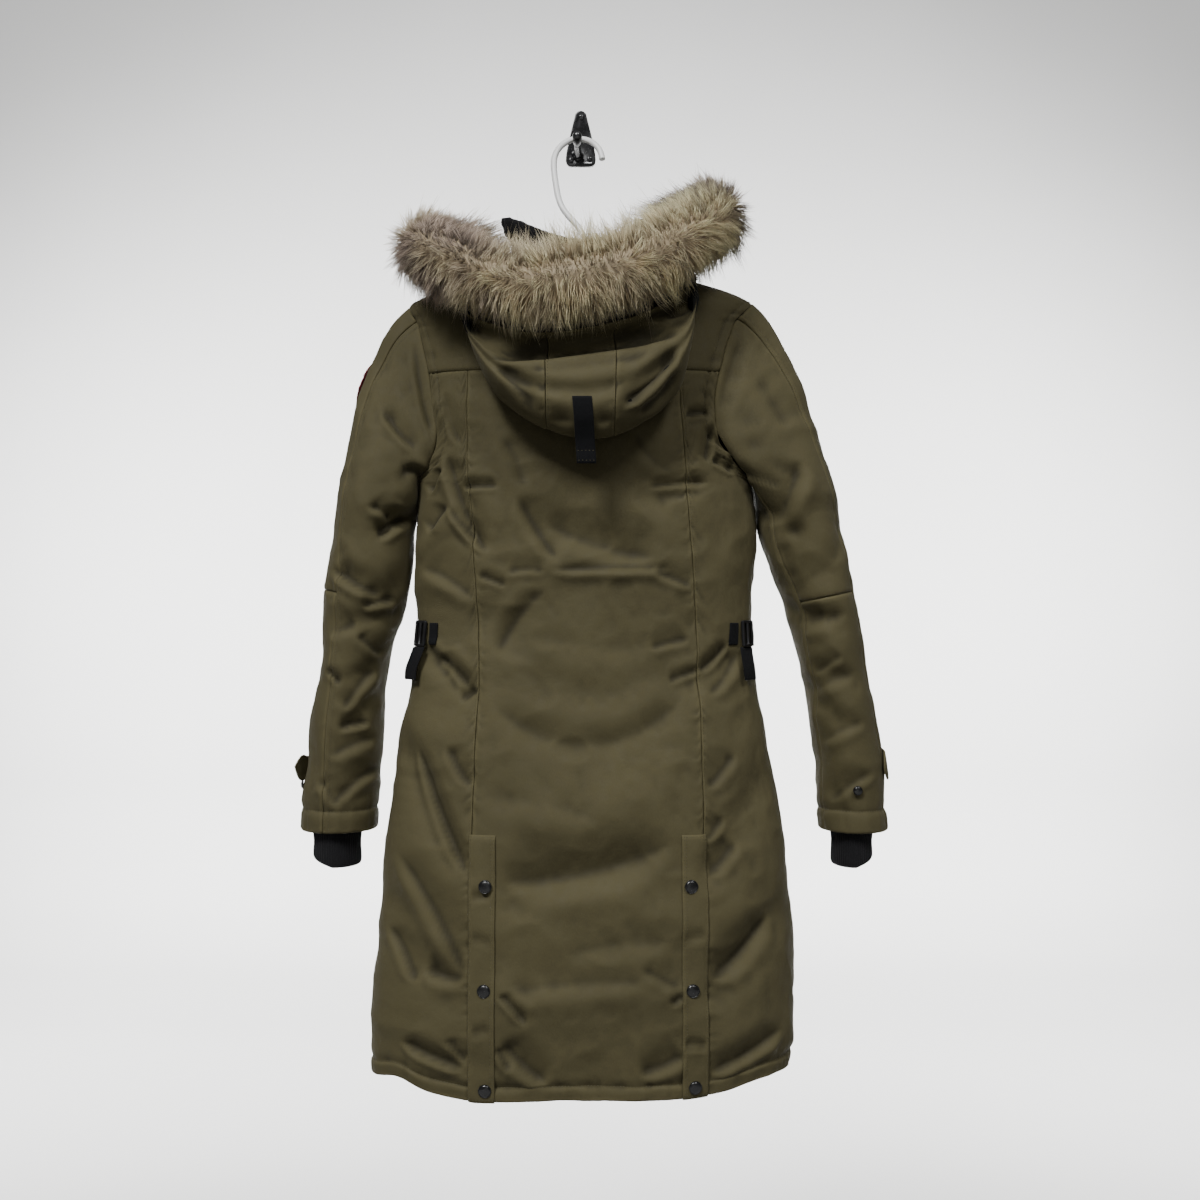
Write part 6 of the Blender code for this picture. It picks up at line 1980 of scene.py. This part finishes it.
def build_hanger():
    """The white tube under the shoulders, and its hook."""
    slope = cos(radians(HANGER_SLOPE))
    drop = BODY_WALL / slope + HANGER_TUBE / slope + 1.35
    first, last, bar, corner = -168.0, 175.0, -286.0, 16.0
    top = NECK_LEVEL - 4.0
    outline = [(3.5, top + 8)]
    outline += [(x, min(top, ridge_height(x) - drop)) for x in (26, 50, 80, 105, 130, 155)]
    outline += [(last, ridge_height(last) - drop - 2), (last + 7, -252.0), (last + 6, bar + corner)]
    outline += [(last - 6, bar + 3), (last - 22, bar), (90, bar), (20, bar), (-50, bar), (-110, bar)]
    outline += [(first + 22, bar), (first + 6, bar + 3), (first - 6, bar + corner)]
    outline += [(first - 7, -252.0)]
    outline += [(first, ridge_height(first) - drop - 2)]
    outline += [(x, min(top, ridge_height(x) - drop)) for x in (-148, -123, -98, -74, -44, -20)]
    points = [(x, hanger_depth(z), z) for x, z in outline]
    white = (MATERIALS["white"], "white_plastic")
    tube("hanger_frame_tube", points, HANGER_TUBE, *white, "hanger_frame", cyclic=True)
    hook = [(27.8, -38), (26.5, -28), (21, -19), (13, -12.5), (4, -9.6), (-4, -9.0)]
    hook += [(-13, -10.5), (-22, -16), (-29, -24), (-33, -34), (-34, -44), (-33, -59)]
    hook += [(-30.5, -76), (-28, -91), (-24, -104), (-17, -115.5), (-8, -126), (0, -136)]
    hook += [(3.3, -146), (3.5, -160), (3.5, -172), (3.5, top + 8 + HANGER_TUBE)]
    points = [(x, hanger_depth(z), z) for x, z in hook]
    tube("hanger_hook_wire", points, HOOK_WIRE + WIRE_EXTRA, *white, "hanger_hook")


def build_wall_hook():
    """The cast plate with soft edges, its arm and knob, and three screws whose domed heads have a round
    hollow in the middle.
    """
    thick = 4.5
    bench = Bench("hook_plate_cast", "circle", vertices=20, radius=8.0, fill_type="NGON")
    outline = [(sin(radians(a)) * 8.0, 28.5 + cos(radians(a)) * 8.0) for a in range(-60, 61, 20)]
    outline += [(14.5, 2.0), (19.0, -20.0)]
    outline += [(12 + 7.5 * cos(radians(a)), -29 - 7.5 * sin(radians(a))) for a in range(0, 91, 30)]
    outline += [(-12 - 7.5 * cos(radians(a)), -29 - 7.5 * sin(radians(a))) for a in range(90, -1, -30)]
    outline += [(-19.0, -20.0), (-14.5, 2.0)]
    bm = bmesh.from_edit_mesh(bench.object.data)
    bm.clear()
    ring = [bm.verts.new((x * MM, z * MM, 0)) for x, z in outline]
    bm.faces.new(ring[::-1])
    bm.normal_update()
    bmesh.update_edit_mesh(bench.object.data)
    bench.all()
    bench.extrude(z=thick)
    bench.all()
    bpy.ops.mesh.normals_make_consistent(inside=False)
    bench.pick("edges", lambda m, edge: m.z > thick - 0.1)
    bench.bevel(1.3, 4)
    bench.pick("faces", lambda m, face: face.normal.z > 0.95 and face.calc_area() > 0.0005)
    bench.inset(2.6)
    bench.inset(0.5, -0.35)
    bench.done(MATERIALS["iron"], "black_hook", "hook_plate", (0, 0, 0), OFF_WALL, smooth=40)
    wire_y, wire_z = hanger_depth(-9.0), -9.0 - HOOK_WIRE - 0.3
    arm = [(-4, -thick + 0.6, -21.5), (-4, -6.5, -21.5), (-4, -10.0, -21.5)]
    beyond = [(10, -6.5), (0, -4.4), (-7.0, -3.4), (-11.0, 1.5), (-12.5, 6.0), (-12.9, 9.0)]
    arm += [(-4, wire_y + y, wire_z + z) for y, z in beyond]
    radii = [8.2, 6.4, 5.2, 4.4, 4.2, 5.0, 6.4, 6.0, 2.2]
    tube("hook_arm_cast", arm, radii, MATERIALS["iron"], "black_hook", "hook_arm")
    for number, (x, z) in enumerate(((0.5, 28.0), (-12.5, -28.0), (11.5, -26.5)), 1):
        name = f"hook_screw_{number}"
        bench = Bench(
            name + "_head", "cylinder", vertices=24, radius=3.4, depth=0.9, end_fill_type="NGON"
        )
        bench.pick("faces", lambda m, face: face.normal.z > 0.9)
        bench.inset(0.9)
        bench.move(z=0.65)
        bench.inset(0.9)
        bench.move(z=0.20)
        bench.inset(0.5, -0.7)
        place = (x, -thick - 0.2, z)
        bench.done(MATERIALS["iron"], "black_hook", name, place, OFF_WALL, smooth=40)


# ---- Webbing and badge ----


def build_webbing():
    """The waist straps with their buckles, anchors and tails, and the hood's strap."""
    level, half = -640.0, 12.5
    web = dict(slot="black_webbing", materials=(MATERIALS["webbing"],))
    edge = dict(roll=0.25, pucker=0.0, bulge=0.5)
    seams = {side: Seam(**edge) for side in SIDES}
    for side, name in ((-1, "left"), (1, "right")):
        for part, first, last, length in (("strap", 77, 122, 0.092), ("anchor", 55, 61, 0.018)):
            share = spread(2 * half, 3.0)
            turns = side * np.linspace(first, last, 34 if part == "strap" else 8)
            u, v = np.meshgrid(turns, level - half + share * 2 * half)
            sew(f"waist_{part}_{name}", fine_body, *ordered(side, u, v), seams, WEBBING, (length, 0.025),
                out=CLOSE_GAP + WEBBING, rests_on=(f"back_side_{name}_cloth",), held="laid", **web)
        stand = 2.0 if side < 0 else 1.1
        place, normal = laid(fine_body, side * 69.0, level, stand)
        add_buckle(f"waist_buckle_{name}", place, normal)
        build_tail(side, name, seams, web)
    strap = Table(
        "z x y",
        (-446, 10.0, -245.5),
        (-432, 9.0, -247),
        (-420, 8.2, -250),
        (-409, 7.6, -255),
        (-398, 7.0, -260.5),
        (-386, 6.0, -263.5),
        (-374, 5.0, -264.5),
    )

    def skin(u, v, out=0.0):
        ripple = 0.5 * np.sin((v + 446) / 11.0) * np.clip((-390 - v) / 20, 0, 1)
        return np.stack([strap.read("x", v) + u, strap.read("y", v) + 1.3 - out + ripple, v + 0 * u], -1)

    share = spread(21.0, 2.6)
    u, v = np.meshgrid(-10.5 + share * 21.0, np.linspace(-446, -374, 34))
    seams = dict(seams, low=Seam(rows=(3.0, 14.0), **edge))
    sew("hood_strap", skin, u, v, seams, WEBBING, (0.021, 0.076), rests_on=("hood_center_cloth",), **web)


def build_tail(side, name, seams, web):
    """The free end of a waist strap, which curls as it hangs from the buckle."""
    tail = Table(
        "drop out_left out_right lift",
        (0, 0.0, 0.0, 4.0),
        (12, 1.0, -3.0, 7.0),
        (26, 4.0, -5.0, 9.0),
        (38, 5.0, -5.0, 8.0),
    )
    drift = "out_right" if side > 0 else "out_left"

    def skin(u, v, out=0.0):
        turns = np.full_like(v, side * 68.0)
        base = body(turns, -656.0 - v, 0.0)
        flat = unit(outward(body_shape, turns, -656.0 - v, 1.0, 3.0) * np.array([1, 1, 0]))
        across = np.cross(flat, np.array([0, 0, 1.0]))
        curl = 0.6 * (u / 11.0) ** 2
        shift = (u + side * -1.0 * tail.read(drift, v))[..., None] * across
        return base + shift + flat * (tail.read("lift", v) + curl + out)[..., None]

    share = spread(22.0, 3.0)
    u, v = np.meshgrid(-11.0 + share * 22.0, np.linspace(0, 38, 22))
    buckle = f"waist_buckle_{name}_frame"
    sew(f"waist_tail_{name}", skin, u, v, seams, WEBBING, (0.022, 0.045), rests_on=(buckle,), **web)


def sleeve_places(side, turn, down, across, along):
    """The turns and downs of points that lie so far across and along from a place on a sleeve."""
    base = sleeve(side, turn, down)
    by_turn = (sleeve(side, turn + 1.0, down) - sleeve(side, turn - 1.0, down)) / 2
    by_down = (sleeve(side, turn, down + 0.01) - sleeve(side, turn, down - 0.01)) / 0.02
    ahead = unit(by_down)
    axes = np.stack([unit(by_turn - ahead * (by_turn @ ahead)), ahead], 1)
    steps = np.linalg.inv(np.stack([by_turn, by_down]) @ axes)
    place = np.broadcast_to(np.array([turn, down]), (*across.shape, 2))
    for _ in range(6):
        reached = (sleeve(side, place[..., 0], place[..., 1]) - base) @ axes
        place = place + (np.stack([across, along], -1) - reached) @ steps
    return place[..., 0], place[..., 1]


def build_badge():
    """A plain round badge of thick cloth with a corded edge."""
    radius, middle, z = 34.0, -16.0, -374.0
    ends = np.array([0.9, 0.95, 0.985, 1])
    share = np.concatenate([-ends[::-1], np.linspace(-0.82, 0.82, 19), ends])
    half = np.sqrt(np.clip(1 - (share * 0.97) ** 2, 0.02, 1)) * radius
    across = np.repeat((share * radius * 0.96)[:, None], len(share), 1)
    down = (z + 250) / (UPPER_ARM + 250) * 0.93
    u, v = sleeve_places(-1, middle, down, across, half[:, None] * share)
    edge = dict(roll=-0.5, pucker=0.0, bulge=0.6, rows=(3.4,))
    seams = {side: Seam(**edge) for side in SIDES}
    sew("sleeve_badge", partial(fine_sleeve, -1), u, v, seams, 1.6, (0.068, 0.068), 0.0036,
        out=LAY_GAP + 1.8, slot="red_badge", materials=(MATERIALS["badge"],),
        rests_on=("sleeve_left_main_cloth",), held="laid")


# ---- Stage ----


def build_stage():
    """A pale floor that sweeps up into a backdrop, the lights and the camera."""
    curve = [(-4500, -1900), (2400, -1900), (2800, -1870), (3150, -1770), (3330, -1580)]
    curve += [(3400, -1300), (3400, 3000)]
    half_width = 7000
    points = [(x, y, z) for y, z in curve for x in (-half_width, half_width)]
    faces = np.arange(len(curve) - 1)[:, None] * 2 + np.array([0, 1, 3, 2])
    mesh = raw_mesh("studio_floor", points, [faces])
    paper = Finish("studio_paper", (0.62, 0.62, 0.615), 0.9)
    grain = paper.range(paper.noise(paper.object_place(), 1.5, 2.0), 0.3, 0.7)
    paper.colour(paper.mix(grain, (0.61, 0.61, 0.605), (0.63, 0.63, 0.625)))
    floor = link("studio_floor", mesh, paper.material)
    floor.visible_diffuse = False
    world = bpy.data.worlds.new("studio_air")
    world.use_nodes = True
    air = world.node_tree.nodes["Background"].inputs
    air["Color"].default_value = (1.0, 0.985, 0.95, 1.0)
    air["Strength"].default_value = settings().air_strength
    bpy.context.scene.world = world
    coat, paper_middle = Vector((0, 0, -0.62)), Vector((0, 3.4, -1.3))
    lights = (
        # name, place, side in metres, share of the full power, spread in degrees, aim
        ("key_left", (-2.5, -4.9, 5.2), 1.7, 12.9, 180, coat),
        ("key_right", (2.9, -4.4, 5.2), 1.7, 5.3, 180, coat),
        ("front_fill", (0.1, -3.6, -0.6), 2.2, 0.16, 180, coat),
        ("rear_fill", (0.0, 2.6, -0.4), 1.0, 0.55, 180, coat),
        ("paper_left", (-2.9, 0.9, 0.0), 2.0, 4.6, 95, paper_middle),
        ("paper_right", (2.9, 0.9, 0.0), 2.0, 4.6, 95, paper_middle),
    )
    for name, place, size, share, opening, aim in lights:
        data = bpy.data.lights.new(name, "AREA")
        data.shape, data.size = "SQUARE", size
        data.energy, data.spread = settings().light_power * share, radians(opening)
        lamp = bpy.data.objects.new(name, data)
        bpy.context.scene.collection.objects.link(lamp)
        lamp.location, lamp.visible_camera = place, False
        lamp.rotation_euler = (aim - Vector(place)).to_track_quat("-Z", "Y").to_euler()
    camera = bpy.data.cameras.new("front_camera")
    camera.lens, camera.sensor_width = CAMERA_LENS, 36.0
    seen = bpy.data.objects.new("front_camera", camera)
    bpy.context.scene.collection.objects.link(seen)
    seen.location, seen.rotation_euler = CAMERA_PLACE, (pi / 2, 0, 0)
    bpy.context.scene.camera = seen


# ---- Settings and operators ----


class ParkaSettings(bpy.types.PropertyGroup):
    cloth_colour: FloatVectorProperty(
        name="Cloth", description="Colour of the shell cloth", subtype="COLOR", min=0, max=1,
        default=(0.080, 0.069, 0.032),
    )
    lining_colour: FloatVectorProperty(
        name="Lining", description="Colour of the plain lining", subtype="COLOR", min=0, max=1,
        default=(0.010, 0.010, 0.009),
    )
    fur_pale: FloatVectorProperty(
        name="Fur tips", description="Colour of the fur's pale tips", subtype="COLOR", min=0, max=1,
        default=(0.97, 0.78, 0.47),
    )
    fur_grey: FloatVectorProperty(
        name="Fur sides", description="Colour of the darker fur", subtype="COLOR", min=0, max=1,
        default=(0.42, 0.334, 0.265),
    )
    crease_depth: FloatProperty(
        name="Crease depth", description="Strength of the creases", default=3.2, min=0, max=5,
    )
    stitch_length: FloatProperty(
        name="Stitch", description="Length of one stitch", default=0.0029, min=0.001, max=0.01,
        unit="LENGTH",
    )
    fur_strands: IntProperty(
        name="Strands", description="Number of hairs in the trim", default=29500, min=1000, max=60000,
    )
    rib_count: IntProperty(
        name="Ribs", description="Ribs round each knitted cuff", default=56, min=12, max=90,
    )
    light_power: FloatProperty(
        name="Light", description="Power of the strongest light", default=46.0, min=0, unit="POWER",
    )
    air_strength: FloatProperty(
        name="Air", description="Strength of the light from all round", default=0.12, min=0,
    )


def settings():
    return bpy.context.scene.parka_settings


MATERIALS = {}


class ParkaFinishes(bpy.types.Operator):
    """Make the coat's finishes"""

    bl_idname = "parka.finishes"
    bl_label = "Finishes"

    def execute(self, context):
        MATERIALS.update(
            twill=twill_finish(),
            lining=lining_finish(),
            thread=thread_finish(),
            webbing=webbing_finish(),
            rib=rib_finish(),
            fleece=fleece_finish(),
            fur=fur_finish(),
            plastic=plastic_finish("parka_plastic", (0.010, 0.010, 0.011), 0.34),
            snap=plastic_finish("parka_snap", (0.005, 0.005, 0.0055), 0.30),
            badge=badge_finish(),
            white=plastic_finish("parka_hanger", (0.90, 0.90, 0.89), 0.30),
            iron=enamel_finish("parka_hook", (0.010, 0.010, 0.011), 0.22),
        )
        return {"FINISHED"}


class ParkaBody(bpy.types.Operator):
    """Sew the back, its side panels, the yoke and the fronts"""

    bl_idname = "parka.body"
    bl_label = "Body panels"

    def execute(self, context):
        build_back()
        build_fronts()
        return {"FINISHED"}


class ParkaFlaps(bpy.types.Operator):
    """Lay the vent flaps and the storm flap"""

    bl_idname = "parka.flaps"
    bl_label = "Flaps"

    def execute(self, context):
        build_flaps()
        return {"FINISHED"}


class ParkaSleeves(bpy.types.Operator):
    """Sew the sleeves, their knitted cuffs and tabs, and the badge"""

    bl_idname = "parka.sleeves"
    bl_label = "Sleeves"

    def execute(self, context):
        build_sleeves()
        build_cuffs()
        build_tabs()
        build_badge()
        return {"FINISHED"}


class ParkaHood(bpy.types.Operator):
    """Sew the collar and the hood"""

    bl_idname = "parka.hood"
    bl_label = "Collar and hood"

    def execute(self, context):
        build_collar()
        build_hood()
        return {"FINISHED"}


class ParkaFur(bpy.types.Operator):
    """Comb the fur trim"""

    bl_idname = "parka.fur"
    bl_label = "Fur trim"

    def execute(self, context):
        build_fur()
        return {"FINISHED"}


class ParkaHardware(bpy.types.Operator):
    """Fit the webbing, buckles and press studs"""

    bl_idname = "parka.hardware"
    bl_label = "Webbing and studs"

    def execute(self, context):
        build_webbing()
        build_snaps()
        return {"FINISHED"}


class ParkaHanger(bpy.types.Operator):
    """Make the hanger and the wall hook"""

    bl_idname = "parka.hanger"
    bl_label = "Hanger and hook"

    def execute(self, context):
        build_hanger()
        build_wall_hook()
        return {"FINISHED"}


class ParkaStage(bpy.types.Operator):
    """Set the floor, backdrop, lights and camera"""

    bl_idname = "parka.stage"
    bl_label = "Stage"

    def execute(self, context):
        build_stage()
        return {"FINISHED"}


class ParkaPanel(bpy.types.Panel):
    """The coat's controls"""

    bl_idname = "VIEW3D_PT_parka"
    bl_label = "Fur trimmed parka"
    bl_space_type = "VIEW_3D"
    bl_region_type = "UI"
    bl_category = "Parka"

    def draw(self, context):
        for key in ParkaSettings.__annotations__:
            self.layout.prop(context.scene.parka_settings, key)
        for step in STEPS:
            self.layout.operator(step.bl_idname)


STEPS = (
    ParkaFinishes, ParkaBody, ParkaFlaps, ParkaSleeves, ParkaHood, ParkaFur, ParkaHardware, ParkaHanger,
    ParkaStage,
)
CLASSES = (ParkaSettings, *STEPS, ParkaPanel)


def register():
    for item in CLASSES:
        bpy.utils.register_class(item)
    bpy.types.Scene.parka_settings = PointerProperty(type=ParkaSettings)


def unregister():
    del bpy.types.Scene.parka_settings
    for item in reversed(CLASSES):
        bpy.utils.unregister_class(item)


def main():
    register()
    bpy.ops.parka.finishes()
    bpy.ops.parka.body()
    bpy.ops.parka.flaps()
    bpy.ops.parka.sleeves()
    bpy.ops.parka.hood()
    bpy.ops.parka.fur()
    bpy.ops.parka.hardware()
    bpy.ops.parka.hanger()
    bpy.ops.parka.stage()
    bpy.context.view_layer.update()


if __name__ == "__main__":
    main()
